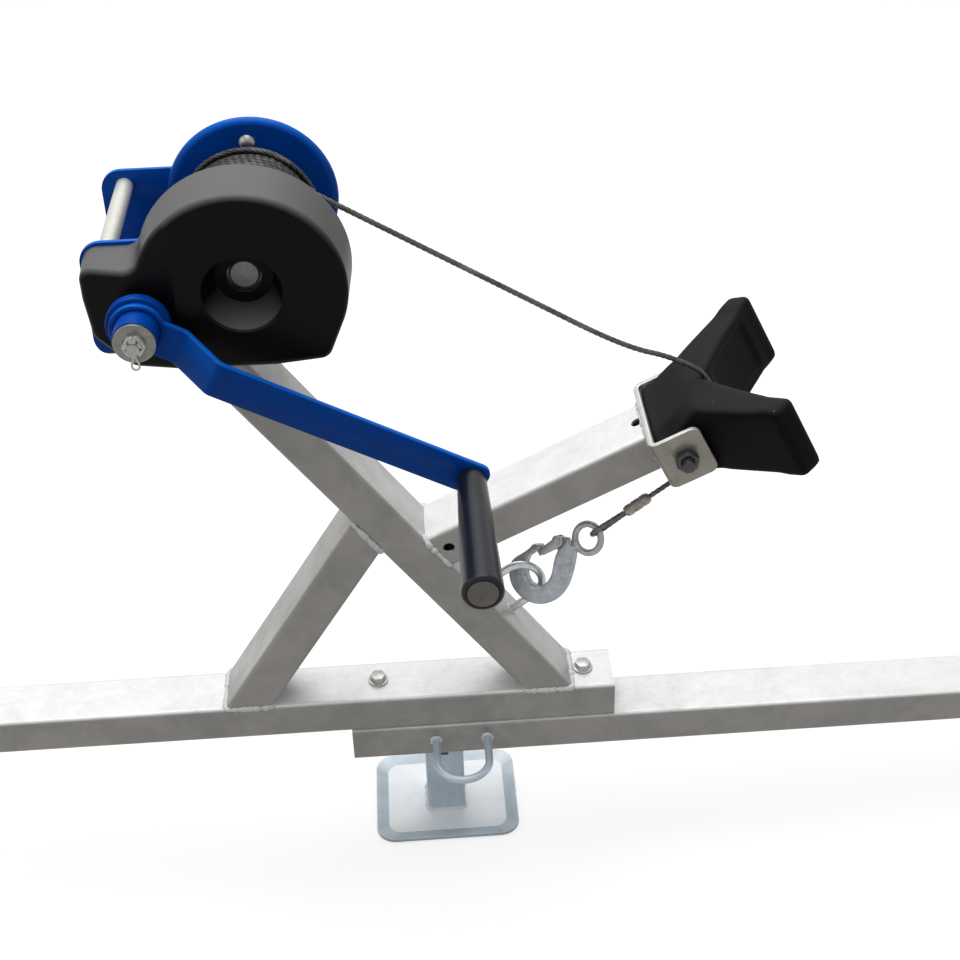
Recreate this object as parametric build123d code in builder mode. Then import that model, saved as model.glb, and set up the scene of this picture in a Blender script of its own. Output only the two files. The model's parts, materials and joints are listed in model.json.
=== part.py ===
"""Winch stand of a boat trailer, with its hand winch, wire rope, hook and bow stop, standing on a
bolted drawbar joint with a foot pad.  Millimetres; +X to the rear (towards the boat), +Z up,
-Y is the side that the crank handle stands on.  The origin is the middle of the foot pad's
underside.

The gears are the piece to look at: an involute pair in mesh behind the moulded cover.
"""
from build123d import *
import math
import os

os.makedirs("parts", exist_ok=True)

# ---------------------------------------------------------------- driving dimensions

# rectangular tube that the drawbar, post, brace and bow arm are cut from
tube_deep = 60.0            # across the trailer, along Y
tube_tall = 40.0
tube_wall = 3.0
tube_corner = 5.0

# drawbar: the front tube lies on the rear tube, and two bolts hold them
front_tube_left = -520.0
front_tube_right = 176.0
rear_tube_left = -92.6
rear_tube_right = 660.0
rear_tube_bottom = 94.0
bolt_to_tube_end = 29.6
drawbar_bolt = 10.0
drawbar_bolt_slack = 1.0    # hole over bolt
flange_across = 20.0
hex_across = 14.0
head_tall = 8.0
nut_tall = 8.0
thread_beyond_nut = 6.0

# foot
leg_side = 40.0
leg_wall = 3.0
leg_slot_long = 9.0
leg_slot_wide = 3.5
leg_slot_below_tube = 9.0
pad_long = 150.0
pad_wide = 125.0
pad_corner = 20.0
pad_plate = 4.0
pad_rim = 13.0              # width of the sloping rim
pad_rim_rise = 3.0

# post and brace
post_foot_x = 109.1
post_angle = 125.65         # degrees above +X
brace_foot_x = -192.7
brace_angle = 57.19
vent_notch = 9.0            # half-round galvanising vents at the tube ends
post_vent = 10.0            # round vent in the post's front wall
post_vent_x = 14.7
post_vent_z = 362.1

# bow arm, and the frame of the bow stop at its end
arm_point_x = 126.0         # a point on the arm's centre line, from which the stop is measured
arm_point_z = 414.7
arm_angle = 26.33
bracket_from_point = 91.0   # to the back of the bracket's web
strap = 5.0
bracket_across = 109.0
bracket_tall = 52.0
bracket_drop = 2.0          # bracket's middle under the arm's centre line
bracket_reach = 48.0
bracket_corner = 8.0
bracket_bend = 9.0
bracket_bolt = 12.0
bracket_bolt_from_web = 26.0
bolt_hole_slack = 0.5
bracket_nut_across = 19.0
bracket_nut_tall = 9.0

# rubber bow stop: a stem between the bracket's ears, and two wings
stop_tall = 74.0
stop_gap = 0.5              # rubber to bracket
stem_end = 49.0             # from the web's back to where the wings leave the stem
notch_from_web = 67.0       # to the bottom of the V
wing_tip_from_web = 130.0
wing_back_from_web = 109.0
wing_back_out = 103.0
wing_tip_out = 90.0
wing_face_out = 78.0
wing_face_from_web = 118.0
stop_edge = 5.0
stop_dish = 3.0
stop_lip = 9.0
dish_from_notch = 16.0
dish_corner = 8.0
dish_slope = 35.0           # of the dish's walls, in degrees

# catch eye on the post, and tie-down loop on the drawbar
loop_bar = 8.0
eye_along_post = 110.0      # its middle, up the post's rear face from the foot
eye_spacing = 42.0
eye_straight = 28.0
tie_x = 18.7
tie_spacing = 52.5
tie_straight = 32.0

# winch frame
frame_thick = 4.0
frame_across = 142.0
frame_left = -269.0
frame_right = -92.0
frame_top = 714.5
frame_bottom = 610.0
frame_corner = 18.0
frame_bend = 4.0            # inside radius
frame_nose = 34.0           # radius of the plates round the drum's axle
bed_plate = 6.0
bed_left = -262.0
bed_right = -118.0
bed_across = 110.0
bed_bolt = 10.0
bed_bolt_front_x = -243.0
bed_bolt_rear_x = -152.0
bed_bolt_spacing = 56.0
bed_hex = 16.0
bed_head_tall = 6.4
bed_nut_tall = 8.0
tie_rod = 15.0
tie_rod_x = -249.0
tie_rod_z = 700.0

# drum
drum_x = -138.0
drum_z = 690.5
core_radius = 45.0
core_wall = 2.5
flange_radius = 73.3
flange_inside = 46.5        # from the middle plane to a flange's inner face
flange_thick = 2.5
flange_roll = 6.0           # radius of the rolled rim
axle = 25.0
running_gap = 0.05
axle_front = -91.0
axle_collar = 17.0
collar_thick = 4.5
collar_gap = 0.4

# wound rope
rope = 5.0
wind_radius = 56.5
wind_step = 5.4
lane_turns = -2             # the free rope lies in this turn's place, counted from the middle
lane_depth = 5.0
ridge_gap = 0.2             # between the feet of two turns
low_turns = 3               # at the far side, without the top layer
layer_rise = 4.3
clamp_head = 14.0
clamp_dome = 4.0
clamp_from_axis = 52.5

# gears
gear_module = 3.0
wheel_teeth = 41
pinion_teeth = 15
pressure_angle = 20.0
wheel_addendum = 2.1        # short, so that it clears the pinion's root
pinion_addendum = 3.0
tooth_bottom_gap = 0.75
backlash = 0.45
pinion_bearing = 193.2      # direction from the drum's axis to the pinion's
wheel_front = -87.0
wheel_thick = 9.0
pinion_front = -88.0
pinion_wide = 11.0
wheel_holes = 5
wheel_hole = 18.0
wheel_hole_from_axis = 38.0
crank_shaft = 14.0

# gear cover
cover_wall = 3.0
cover_front = -124.5
cover_back_gap = 0.2        # to the near side plate
cover_draft = 3.0
cover_edge = 6.0
cover_corner = 14.0
cover_radius = 85.0         # at the rim
cover_left = -266.5
cover_bottom = 621.5
cover_lobe_top = 711.5
cover_slope_from = -190.0   # left of this x the front falls back
cover_slope = 14.0
recess_radius = 31.0
recess_deep = 30.0
recess_taper = 8.0
recess_edge = 3.0
axle_window = 14.0
shaft_window = 13.0

# crank
hub_ring = 25.25
hub_ring_gap = 1.0
hub_barrel = 17.5
hub_end = -157.5
crank_angle = -28.6
bar_wide = 30.0
bar_thick = 5.5
bar_inner = -137.0          # y of the bar's middle at the hub
bar_outer = -165.0          # and at the grip
bend_start = 35.0           # along the bar from the shaft
bend_end = 65.0
bend_radius = 10.0
hub_eye = 22.0
crank_radius = 288.0
bar_beyond_grip = 13.0
washer_across = 33.0
washer_thick = 2.5
castle_across = 16.0
castle_tall = 9.0
castle_slot = 2.5
crank_thread = 10.0

# grip
grip_long = 148.0
grip_inner = 12.0           # radius at the crank
grip_outer = 16.5           # radius at the free end
grip_gap = 0.6
grip_round = 3.0
spindle = 12.0
end_disc = 24.0
end_disc_thick = 2.5

# free rope
rope_gap = 0.3              # rope to what it lies on
rope_leaves = 57.6          # degrees round the drum where it starts
loop_long = 31.0            # ring to ferrule
ferrule_long = 28.0
ferrule_wide = 12.0
ferrule_thick = 7.5

# hook
eye_x = 148.6
eye_y = -12.0
eye_z = 348.85
hook_lean = 52.0            # degrees under the horizontal, from eye to bowl
hook_twist = 45.0
hook_thick = 11.0
hook_eye_outer = 17.5
hook_eye_hole = 10.5

# ---------------------------------------------------------------- what follows from them

rear_tube_top = rear_tube_bottom + tube_tall
front_tube_top = rear_tube_top + tube_tall
rear_tube_mid = rear_tube_bottom + tube_tall / 2
front_tube_mid = rear_tube_top + tube_tall / 2
bolt_xs = (rear_tube_left + bolt_to_tube_end, front_tube_right - bolt_to_tube_end)


def heading(angle):
    """Unit vector in the plane of the stand, in degrees above +X."""
    return Vector(math.cos(math.radians(angle)), 0, math.sin(math.radians(angle)))


def facing(x, z, y):
    """Sketch plane seen from the front: its x is X, its y is Z, and it extrudes towards -Y."""
    return Plane(origin=(x, y, z), x_dir=(1, 0, 0), z_dir=(0, -1, 0))


def along_axle(x, z):
    """Sketch plane through an axle that lies along Y: its x is Y, its y is the radius."""
    return Plane(origin=(x, 0, z), x_dir=(0, 1, 0), z_dir=(1, 0, 0))


def axle_axis(x, z):
    return Axis((x, 0, z), (0, 1, 0))


def box_section():
    """The stand's tube in section, with its depth along the sketch's x."""
    RectangleRounded(tube_deep, tube_tall, tube_corner)
    RectangleRounded(tube_deep - 2 * tube_wall, tube_tall - 2 * tube_wall,
                     tube_corner - tube_wall, mode=Mode.SUBTRACT)


def across(point, direction):
    """Sketch plane square to a tube that runs in the plane of the stand, with its x along Y."""
    return Plane(origin=point, x_dir=(0, 1, 0), z_dir=direction)


def save(builder, name):
    builder.part.label = name
    export_step(builder.part, f"parts/{name}.step")


# ---------------------------------------------------------------- drawbar

with BuildPart() as front_tube:
    with BuildSketch(across((front_tube_left, 0, front_tube_mid), (1, 0, 0))):
        box_section()
    extrude(amount=front_tube_right - front_tube_left)
    with Locations(*[(x, 0, front_tube_top) for x in bolt_xs]):
        Hole((drawbar_bolt + drawbar_bolt_slack) / 2)
save(front_tube, "front_drawbar_tube")

with BuildPart() as rear_tube:
    with BuildSketch(across((rear_tube_left, 0, rear_tube_mid), (1, 0, 0))):
        box_section()
    extrude(amount=rear_tube_right - rear_tube_left)
    with Locations(*[(x, 0, rear_tube_top) for x in bolt_xs]):
        Hole((drawbar_bolt + drawbar_bolt_slack) / 2)
save(rear_tube, "rear_drawbar_tube")

flange_tall = 2.0
with BuildPart() as drawbar_bolts:
    for x in bolt_xs:
        with BuildSketch(Plane.XY.offset(rear_tube_bottom - nut_tall - thread_beyond_nut)):
            with Locations((x, 0)):
                Circle(drawbar_bolt / 2)
        extrude(amount=2 * tube_tall + nut_tall + thread_beyond_nut)
        with BuildSketch(Plane.XY.offset(front_tube_top)):
            with Locations((x, 0)):
                Circle(flange_across / 2)
        extrude(amount=flange_tall)
        with BuildSketch(Plane.XY.offset(front_tube_top + flange_tall)):
            with Locations((x, 0)):
                RegularPolygon(hex_across / 2, 6, major_radius=False)
        extrude(amount=head_tall - flange_tall)
save(drawbar_bolts, "drawbar_bolts")

with BuildPart() as drawbar_nuts:
    for x in bolt_xs:
        with BuildSketch(Plane.XY.offset(rear_tube_bottom - flange_tall)):
            with Locations((x, 0)):
                Circle(flange_across / 2)
                Circle(drawbar_bolt / 2, mode=Mode.SUBTRACT)
        extrude(amount=flange_tall)
        with BuildSketch(Plane.XY.offset(rear_tube_bottom - nut_tall)):
            with Locations((x, 0)):
                RegularPolygon(hex_across / 2, 6, major_radius=False)
                Circle(drawbar_bolt / 2, mode=Mode.SUBTRACT)
        extrude(amount=nut_tall - flange_tall)
save(drawbar_nuts, "drawbar_nuts")

# ---------------------------------------------------------------- foot

# pressed pad: a flat floor, and a rim that slopes up all round
with BuildPart() as foot_plate:
    with BuildSketch(Plane.XY):
        RectangleRounded(pad_long - 2 * pad_rim, pad_wide - 2 * pad_rim, pad_corner - pad_rim / 2)
    with BuildSketch(Plane.XY.offset(pad_rim_rise)):
        RectangleRounded(pad_long, pad_wide, pad_corner)
    loft()
    with BuildSketch(Plane.XY.offset(pad_rim_rise)):
        RectangleRounded(pad_long, pad_wide, pad_corner)
    extrude(amount=pad_plate)
    with BuildSketch(Plane.XY.offset(pad_plate)):
        RectangleRounded(pad_long - 2 * pad_rim, pad_wide - 2 * pad_rim, pad_corner - pad_rim / 2)
    with BuildSketch(Plane.XY.offset(pad_plate + pad_rim_rise)):
        RectangleRounded(pad_long, pad_wide, pad_corner)
    loft(mode=Mode.SUBTRACT)
save(foot_plate, "foot_plate")

with BuildPart() as foot_leg:
    with BuildSketch(Plane.XY.offset(pad_plate)):
        RectangleRounded(leg_side, leg_side, tube_corner)
        RectangleRounded(leg_side - 2 * leg_wall, leg_side - 2 * leg_wall,
                         tube_corner - leg_wall, mode=Mode.SUBTRACT)
    extrude(amount=rear_tube_bottom - pad_plate)
    with BuildSketch(facing(0, rear_tube_bottom - leg_slot_below_tube, 0)):
        SlotOverall(leg_slot_long, leg_slot_wide)
    extrude(amount=leg_side, mode=Mode.SUBTRACT)
save(foot_leg, "foot_leg")


def u_bar(plane, spacing, straight):
    """Round bar bent to a U that stands on the plane, its legs side by side along the plane's x."""
    bend = spacing / 2
    profile = Plane(origin=plane.from_local_coords(Vector(-bend, 0, 0)), z_dir=plane.z_dir)
    with BuildPart() as bar:
        with BuildLine(Plane(origin=plane.origin, x_dir=plane.x_dir, z_dir=-plane.y_dir)) as path:
            Line((-bend, 0), (-bend, straight))
            ThreePointArc((-bend, straight), (0, straight + bend), (bend, straight))
            Line((bend, straight), (bend, 0))
        with BuildSketch(profile):
            Circle(loop_bar / 2)
        sweep(path=path.line)
    return bar


tie_loop = u_bar(Plane(origin=(tie_x, -tube_deep / 2, rear_tube_mid), x_dir=(1, 0, 0),
                       z_dir=(0, -1, 0)), tie_spacing, tie_straight)
save(tie_loop, "tie_down_loop")

# ---------------------------------------------------------------- post, brace and bow arm

post_way = heading(post_angle)
post_rear = heading(post_angle - 90)        # out of the post's rear face
post_foot = Vector(post_foot_x, 0, front_tube_top)
bed_bottom = frame_bottom - bed_plate
long_enough = 800.0

with BuildPart() as post:
    with BuildSketch(across(post_foot, post_way)):
        box_section()
    extrude(amount=long_enough, both=True)
    split(bisect_by=Plane.XY.offset(front_tube_top), keep=Keep.TOP)
    split(bisect_by=Plane.XY.offset(bed_bottom), keep=Keep.BOTTOM)
    with BuildSketch(facing(post_vent_x, post_vent_z, 0)):
        Circle(post_vent / 2)
    extrude(amount=tube_deep, mode=Mode.SUBTRACT)
    # half-round vent where the rear wall meets the drawbar
    rear_foot = post_foot + Vector(tube_tall / 2 / math.sin(math.radians(post_angle)), 0, 0)
    with BuildSketch(Plane(origin=rear_foot, x_dir=(0, 1, 0), z_dir=post_rear)):
        Circle(vent_notch / 2)
    extrude(amount=tube_tall / 2, both=True, mode=Mode.SUBTRACT)
save(post, "post_tube")

brace_way = heading(brace_angle)
brace_foot = Vector(brace_foot_x, 0, front_tube_top)
with BuildPart() as brace:
    with BuildSketch(across(brace_foot, brace_way)):
        box_section()
    extrude(amount=long_enough, both=True)
    split(bisect_by=Plane.XY.offset(front_tube_top), keep=Keep.TOP)
    split(bisect_by=Plane(origin=post_foot - post_rear * (tube_tall / 2), z_dir=post_rear),
          keep=Keep.BOTTOM)
    front_foot = brace_foot - Vector(tube_tall / 2 / math.sin(math.radians(brace_angle)), 0, 0)
    with BuildSketch(Plane(origin=front_foot, x_dir=(0, 1, 0), z_dir=heading(brace_angle + 90))):
        Circle(vent_notch / 2)
    extrude(amount=tube_tall / 2, both=True, mode=Mode.SUBTRACT)
save(brace, "brace_tube")

arm_way = heading(arm_angle)
arm_up = heading(arm_angle + 90)
arm_point = Vector(arm_point_x, 0, arm_point_z)
web_back = arm_point + arm_way * bracket_from_point
with BuildPart() as bow_arm:
    with BuildSketch(across(web_back, arm_way)):
        box_section()
    extrude(amount=-long_enough)
    split(bisect_by=Plane(origin=post_foot + post_rear * (tube_tall / 2), z_dir=post_rear),
          keep=Keep.TOP)
    with BuildSketch(Plane(origin=web_back + arm_up * (tube_tall / 2), x_dir=(0, 1, 0),
                           z_dir=arm_up)):
        Circle(vent_notch / 2)
    extrude(amount=tube_tall / 2, both=True, mode=Mode.SUBTRACT)
save(bow_arm, "bow_arm_tube")

eye_seat = post_foot + post_rear * (tube_tall / 2) + post_way * eye_along_post
catch_eye = u_bar(Plane(origin=eye_seat, x_dir=post_way, z_dir=post_rear),
                  eye_spacing, eye_straight)
save(catch_eye, "catch_eye")

# ---------------------------------------------------------------- bow stop

# plan view of the stop: x runs out along the arm, y across the trailer
stop_plan = Plane(origin=web_back - arm_up * bracket_drop, x_dir=arm_way, z_dir=arm_up)
block_plan = Plane(origin=web_back, x_dir=arm_way, z_dir=arm_up)
bolt_line = stop_plan.from_local_coords(Vector(bracket_bolt_from_web, 0, 0))
bolt_plane = Plane(origin=bolt_line, x_dir=arm_way, z_dir=(0, -1, 0))

with BuildPart() as stop_bracket:
    with BuildSketch(stop_plan):
        half = bracket_across / 2
        with BuildLine():
            FilletPolyline((bracket_reach, half), (0, half), (0, -half), (bracket_reach, -half),
                           radius=bracket_bend)
            inner = half - strap
            FilletPolyline((bracket_reach, inner), (strap, inner), (strap, -inner),
                           (bracket_reach, -inner), radius=bracket_bend - strap)
            Line((bracket_reach, half), (bracket_reach, inner))
            Line((bracket_reach, -half), (bracket_reach, -inner))
        make_face()
    extrude(amount=bracket_tall / 2, both=True)
    ear_corners = stop_bracket.edges().filter_by(Axis.Y).sort_by(
        lambda e: (e.center() - web_back).dot(arm_way))[-4:]
    fillet(ear_corners, bracket_corner)
    with BuildSketch(bolt_plane):
        Circle(bracket_bolt / 2 + bolt_hole_slack)
    extrude(amount=bracket_across, both=True, mode=Mode.SUBTRACT)
save(stop_bracket, "stop_bracket")

stem_half = bracket_across / 2 - strap - stop_gap
with BuildPart() as bow_stop:
    with BuildSketch(block_plan):
        with BuildLine():
            Polyline((strap + stop_gap, -stem_half), (stem_end, -stem_half),
                     (wing_back_from_web, -wing_back_out), (wing_tip_from_web, -wing_tip_out),
                     (wing_face_from_web, -wing_face_out), (notch_from_web, 0),
                     (wing_face_from_web, wing_face_out), (wing_tip_from_web, wing_tip_out),
                     (wing_back_from_web, wing_back_out), (stem_end, stem_half),
                     (strap + stop_gap, stem_half), close=True)
        make_face()
    extrude(amount=stop_tall / 2, both=True)
    fillet(bow_stop.edges().filter_by(lambda e: abs(e.tangent_at(0.5).dot(arm_up)) > 0.99)
           .filter_by(lambda e: (e.center() - web_back).dot(arm_way) > stem_end + 1
                      and abs(e.center().Y) > 1), stop_edge)
    fillet(bow_stop.edges().filter_by(lambda e: abs(e.tangent_at(0.5).dot(arm_up)) > 0.99)
           .filter_by(lambda e: (e.center() - web_back).dot(arm_way) < strap + 1), bracket_bend)
    fillet(bow_stop.faces().filter_by(lambda f: abs(f.normal_at().dot(arm_up)) > 0.99).edges(),
           stop_edge)
    # each face of the V is dished, and keeps a lip all round
    for side in (1, -1):
        notch = block_plan.from_local_coords(Vector(notch_from_web, 0, 0))
        tip = block_plan.from_local_coords(Vector(wing_face_from_web, side * wing_face_out, 0))
        face_way = (tip - notch).normalized()
        face_out = arm_up.cross(face_way) * -side
        dish_long = (tip - notch).length - dish_from_notch - stop_lip
        dish_middle = notch + face_way * (dish_from_notch + dish_long / 2)
        with BuildSketch(Plane(origin=dish_middle, x_dir=face_way, z_dir=-face_out)):
            RectangleRounded(dish_long, stop_tall - 2 * stop_lip, dish_corner)
        extrude(amount=stop_dish, taper=dish_slope, mode=Mode.SUBTRACT)
    with BuildSketch(bolt_plane):
        Circle(bracket_bolt / 2 + bolt_hole_slack)
    extrude(amount=bracket_across, both=True, mode=Mode.SUBTRACT)
save(bow_stop, "bow_stop")

with BuildPart() as bracket_bolt_part:
    with BuildSketch(bolt_plane.offset(-bracket_across / 2)):
        Circle(bracket_bolt / 2)
    extrude(amount=bracket_across + bracket_nut_tall + 7)
    with BuildSketch(bolt_plane.offset(-bracket_across / 2)):
        RegularPolygon(bracket_nut_across / 2, 6, major_radius=False)
    extrude(amount=-bracket_nut_tall)
save(bracket_bolt_part, "bracket_bolt")

with BuildPart() as bracket_nut:
    with BuildSketch(bolt_plane.offset(bracket_across / 2)):
        RegularPolygon(bracket_nut_across / 2, 6, major_radius=False)
        Circle(bracket_bolt / 2, mode=Mode.SUBTRACT)
    extrude(amount=bracket_nut_tall)
save(bracket_nut, "bracket_nut")

# ---------------------------------------------------------------- winch frame

side_outer = frame_across / 2
side_inner = side_outer - frame_thick
base_top = frame_bottom + frame_thick
frame_middle = (frame_left + frame_right) / 2
pinion_away = gear_module * (wheel_teeth + pinion_teeth) / 2
pinion_x = drum_x + pinion_away * math.cos(math.radians(pinion_bearing))
pinion_z = drum_z + pinion_away * math.sin(math.radians(pinion_bearing))
bed_holes = [(x, y) for x in (bed_bolt_front_x, bed_bolt_rear_x)
             for y in (-bed_bolt_spacing / 2, bed_bolt_spacing / 2)]

with BuildPart() as bed:
    with BuildSketch(Plane.XY.offset(bed_bottom)):
        with Locations(((bed_left + bed_right) / 2, 0)):
            RectangleRounded(bed_right - bed_left, bed_across, tube_corner)
        with Locations(*bed_holes):
            Circle((bed_bolt + drawbar_bolt_slack) / 2, mode=Mode.SUBTRACT)
    extrude(amount=bed_plate)
save(bed, "winch_bed")

with BuildPart() as winch_frame:
    with BuildSketch(facing(0, 0, side_outer)):
        with BuildLine():
            Polyline((drum_x, drum_z + frame_nose), (drum_x - 30, frame_top),
                     (frame_left, frame_top), (frame_left, frame_bottom),
                     (frame_right, frame_bottom), (drum_x + frame_nose, drum_z))
            ThreePointArc((drum_x + frame_nose, drum_z),
                          (drum_x + frame_nose * math.cos(math.pi / 4),
                           drum_z + frame_nose * math.sin(math.pi / 4)),
                          (drum_x, drum_z + frame_nose))
        make_face()
        fillet(vertices().filter_by(lambda v: v.X < frame_left + 1), frame_corner)
    extrude(amount=frame_across)
    # the plates and base are one sheet, bent to a U
    with BuildSketch(Plane(origin=(frame_middle, 0, 0), x_dir=(0, 1, 0), z_dir=(1, 0, 0))):
        with BuildLine():
            FilletPolyline((-side_outer, 2 * frame_top), (-side_outer, frame_bottom),
                           (side_outer, frame_bottom), (side_outer, 2 * frame_top),
                           radius=frame_bend + frame_thick)
            FilletPolyline((-side_inner, 2 * frame_top), (-side_inner, base_top),
                           (side_inner, base_top), (side_inner, 2 * frame_top), radius=frame_bend)
            Line((-side_outer, 2 * frame_top), (-side_inner, 2 * frame_top))
            Line((side_outer, 2 * frame_top), (side_inner, 2 * frame_top))
        make_face()
    extrude(amount=long_enough, both=True, mode=Mode.INTERSECT)
    with BuildSketch(facing(drum_x, drum_z, side_outer)):
        Circle(axle / 2 + running_gap)
        with Locations((pinion_x - drum_x, pinion_z - drum_z)):
            Circle(crank_shaft / 2 + running_gap)
        with Locations((tie_rod_x - drum_x, tie_rod_z - drum_z)):
            Circle(tie_rod / 2 - 2)
    extrude(amount=frame_across, mode=Mode.SUBTRACT)
    with Locations(*[(x, y, base_top) for x, y in bed_holes]):
        Hole((bed_bolt + drawbar_bolt_slack) / 2, depth=2 * frame_thick)
save(winch_frame, "winch_frame")

with BuildPart() as bed_bolts:
    with BuildSketch(Plane.XY.offset(bed_bottom - bed_nut_tall - 4)):
        with Locations(*bed_holes):
            Circle(bed_bolt / 2)
    extrude(amount=bed_plate + frame_thick + bed_nut_tall + 4)
    with BuildSketch(Plane.XY.offset(base_top)):
        with Locations(*bed_holes):
            RegularPolygon(bed_hex / 2, 6, major_radius=False)
    extrude(amount=bed_head_tall)
save(bed_bolts, "winch_bolts")

with BuildPart() as bed_nuts:
    with BuildSketch(Plane.XY.offset(bed_bottom - bed_nut_tall)):
        with Locations(*bed_holes):
            RegularPolygon(bed_hex / 2, 6, major_radius=False)
            Circle(bed_bolt / 2, mode=Mode.SUBTRACT)
    extrude(amount=bed_nut_tall)
save(bed_nuts, "winch_nuts")

# the rod's body butts on the plates, and its thinner ends are riveted through them
with BuildPart() as frame_rod:
    with BuildSketch(facing(tie_rod_x, tie_rod_z, side_inner)):
        Circle(tie_rod / 2)
    extrude(amount=2 * side_inner)
    with BuildSketch(facing(tie_rod_x, tie_rod_z, side_outer)):
        Circle(tie_rod / 2 - 2)
    extrude(amount=frame_across)
save(frame_rod, "frame_tie_rod")

# ---------------------------------------------------------------- drum and its rope

flange_outside = flange_inside + flange_thick


def flange_profile(side):
    """A pressed flange in section, as (y, radius) points: a disc with a rim rolled outwards."""
    flat = flange_radius - flange_roll
    reach = flange_inside + flange_roll
    inner = flange_roll - flange_thick
    low = axle / 2 + running_gap
    turn = math.sqrt(0.5)
    with BuildLine() as outline:
        Line((side * flange_inside, low), (side * flange_inside, flat))
        ThreePointArc((side * flange_inside, flat),
                      (side * (reach - flange_roll * turn), flat + flange_roll * turn),
                      (side * reach, flange_radius))
        Line((side * reach, flange_radius), (side * reach, flange_radius - flange_thick))
        ThreePointArc((side * reach, flange_radius - flange_thick),
                      (side * (reach - inner * turn), flat + inner * turn),
                      (side * flange_outside, flat))
        Line((side * flange_outside, flat), (side * flange_outside, low))
        Line((side * flange_outside, low), (side * flange_inside, low))
    return outline.edges()


with BuildPart() as drum:
    with BuildSketch(along_axle(drum_x, drum_z)):
        make_face(flange_profile(1))
        make_face(flange_profile(-1))
        with Locations((0, core_radius - core_wall / 2)):
            Rectangle(2 * flange_inside, core_wall)
    revolve(axis=axle_axis(drum_x, drum_z))
save(drum, "drum")

with BuildPart() as drum_axle:
    with BuildSketch(facing(drum_x, drum_z, side_outer + collar_gap + collar_thick)):
        Circle(axle / 2)
    extrude(amount=side_outer + collar_gap + collar_thick - axle_front)
    with BuildSketch(facing(drum_x, drum_z, side_outer + collar_gap + collar_thick)):
        Circle(axle_collar)
    extrude(amount=collar_thick)
    chamfer(drum_axle.faces().sort_by(Axis.Y)[0].edges(), 1.5)
save(drum_axle, "drum_axle")

# wound turns in section: flat-topped ridges, with one lane left open for the free rope
turns_each_side = int((flange_inside - clamp_dome - wind_step / 2) / wind_step)
ridge_foot = wind_step / 2 - ridge_gap / 2
ridge_top = wind_step / 4
shoulder = wind_step / 2      # height of a ridge
near_edge = rope_gap - flange_inside
ridges = [(near_edge, core_radius), (near_edge, wind_radius - shoulder)]
for turn in range(-turns_each_side, turns_each_side + 1):
    middle = turn * wind_step
    top = wind_radius - (layer_rise if turn > turns_each_side - low_turns else 0)
    if turn == lane_turns:
        ridges += [(middle - wind_step + ridge_foot, wind_radius - lane_depth),
                   (middle + wind_step - ridge_foot, wind_radius - lane_depth)]
    else:
        ridges += [(middle - ridge_foot, top - shoulder), (middle - ridge_top, top),
                   (middle + ridge_top, top), (middle + ridge_foot, top - shoulder)]
ridges.append((ridges[-1][0], core_radius))     # short of the far flange, clear of the clamp bolt
with BuildPart() as rope_turns:
    with BuildSketch(along_axle(drum_x, drum_z)):
        with BuildLine():
            Polyline(*ridges, close=True)
        make_face()
    revolve(axis=axle_axis(drum_x, drum_z))
save(rope_turns, "rope_turns")

with BuildPart() as rope_clamp:
    clamp_plane = facing(drum_x, drum_z + clamp_from_axis, flange_inside)
    sphere = (clamp_head ** 2 / 4 + clamp_dome ** 2) / (2 * clamp_dome)
    with BuildSketch(Plane(origin=clamp_plane.origin, x_dir=(0, -1, 0), z_dir=(1, 0, 0))):
        with BuildLine():
            Line((0, 0), (0, clamp_head / 2))
            ThreePointArc((0, clamp_head / 2),
                          (sphere * math.cos(math.radians(35)) - (sphere - clamp_dome),
                           sphere * math.sin(math.radians(35))), (clamp_dome, 0))
            Line((clamp_dome, 0), (0, 0))
        make_face()
    revolve(axis=Axis(clamp_plane.origin, (0, 1, 0)))
save(rope_clamp, "rope_clamp_bolt")

# ---------------------------------------------------------------- gears


def involute(base, radius):
    """Angle from an involute's root on the base circle, in radians, at a radius outside it."""
    turn = math.sqrt((radius / base) ** 2 - 1)
    return turn - math.atan(turn)


def gear_outline(teeth, addendum, mate_addendum, first_tooth):
    """Closed outline of a spur gear round the sketch's origin, one tooth centred on first_tooth."""
    pitch = gear_module * teeth / 2
    base = pitch * math.cos(math.radians(pressure_angle))
    tip = pitch + addendum
    root = pitch - mate_addendum - tooth_bottom_gap
    start = max(base, root)
    half_at_pitch = math.pi / (2 * teeth) - backlash / 2 / (2 * pitch)

    def at(radius, angle):
        return (radius * math.cos(angle), radius * math.sin(angle))

    def half_angle(radius):
        return half_at_pitch + involute(base, pitch) - involute(base, radius)

    middle = (start + tip) / 2
    step = 2 * math.pi / teeth
    with BuildLine() as outline:
        for tooth in range(teeth):
            centre = math.radians(first_tooth) + tooth * step
            low, high = centre - half_angle(start), centre + half_angle(start)
            if root < start:
                Line(at(root, low), at(start, low))
                Line(at(start, high), at(root, high))
            ThreePointArc(at(start, low), at(middle, centre - half_angle(middle)),
                          at(tip, centre - half_angle(tip)))
            ThreePointArc(at(tip, centre - half_angle(tip)), at(tip, centre),
                          at(tip, centre + half_angle(tip)))
            ThreePointArc(at(tip, centre + half_angle(tip)),
                          at(middle, centre + half_angle(middle)), at(start, high))
            ThreePointArc(at(root, high), at(root, centre + step / 2),
                          at(root, low + step))
    return outline.edges()


with BuildPart() as drum_gear:
    with BuildSketch(facing(drum_x, drum_z, wheel_front + wheel_thick)):
        make_face(gear_outline(wheel_teeth, wheel_addendum, pinion_addendum,
                               pinion_bearing + 180 / wheel_teeth))
        Circle(axle / 2, mode=Mode.SUBTRACT)
        with PolarLocations(wheel_hole_from_axis, wheel_holes):
            Circle(wheel_hole / 2, mode=Mode.SUBTRACT)
    extrude(amount=wheel_thick)
save(drum_gear, "drum_gear")

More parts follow.
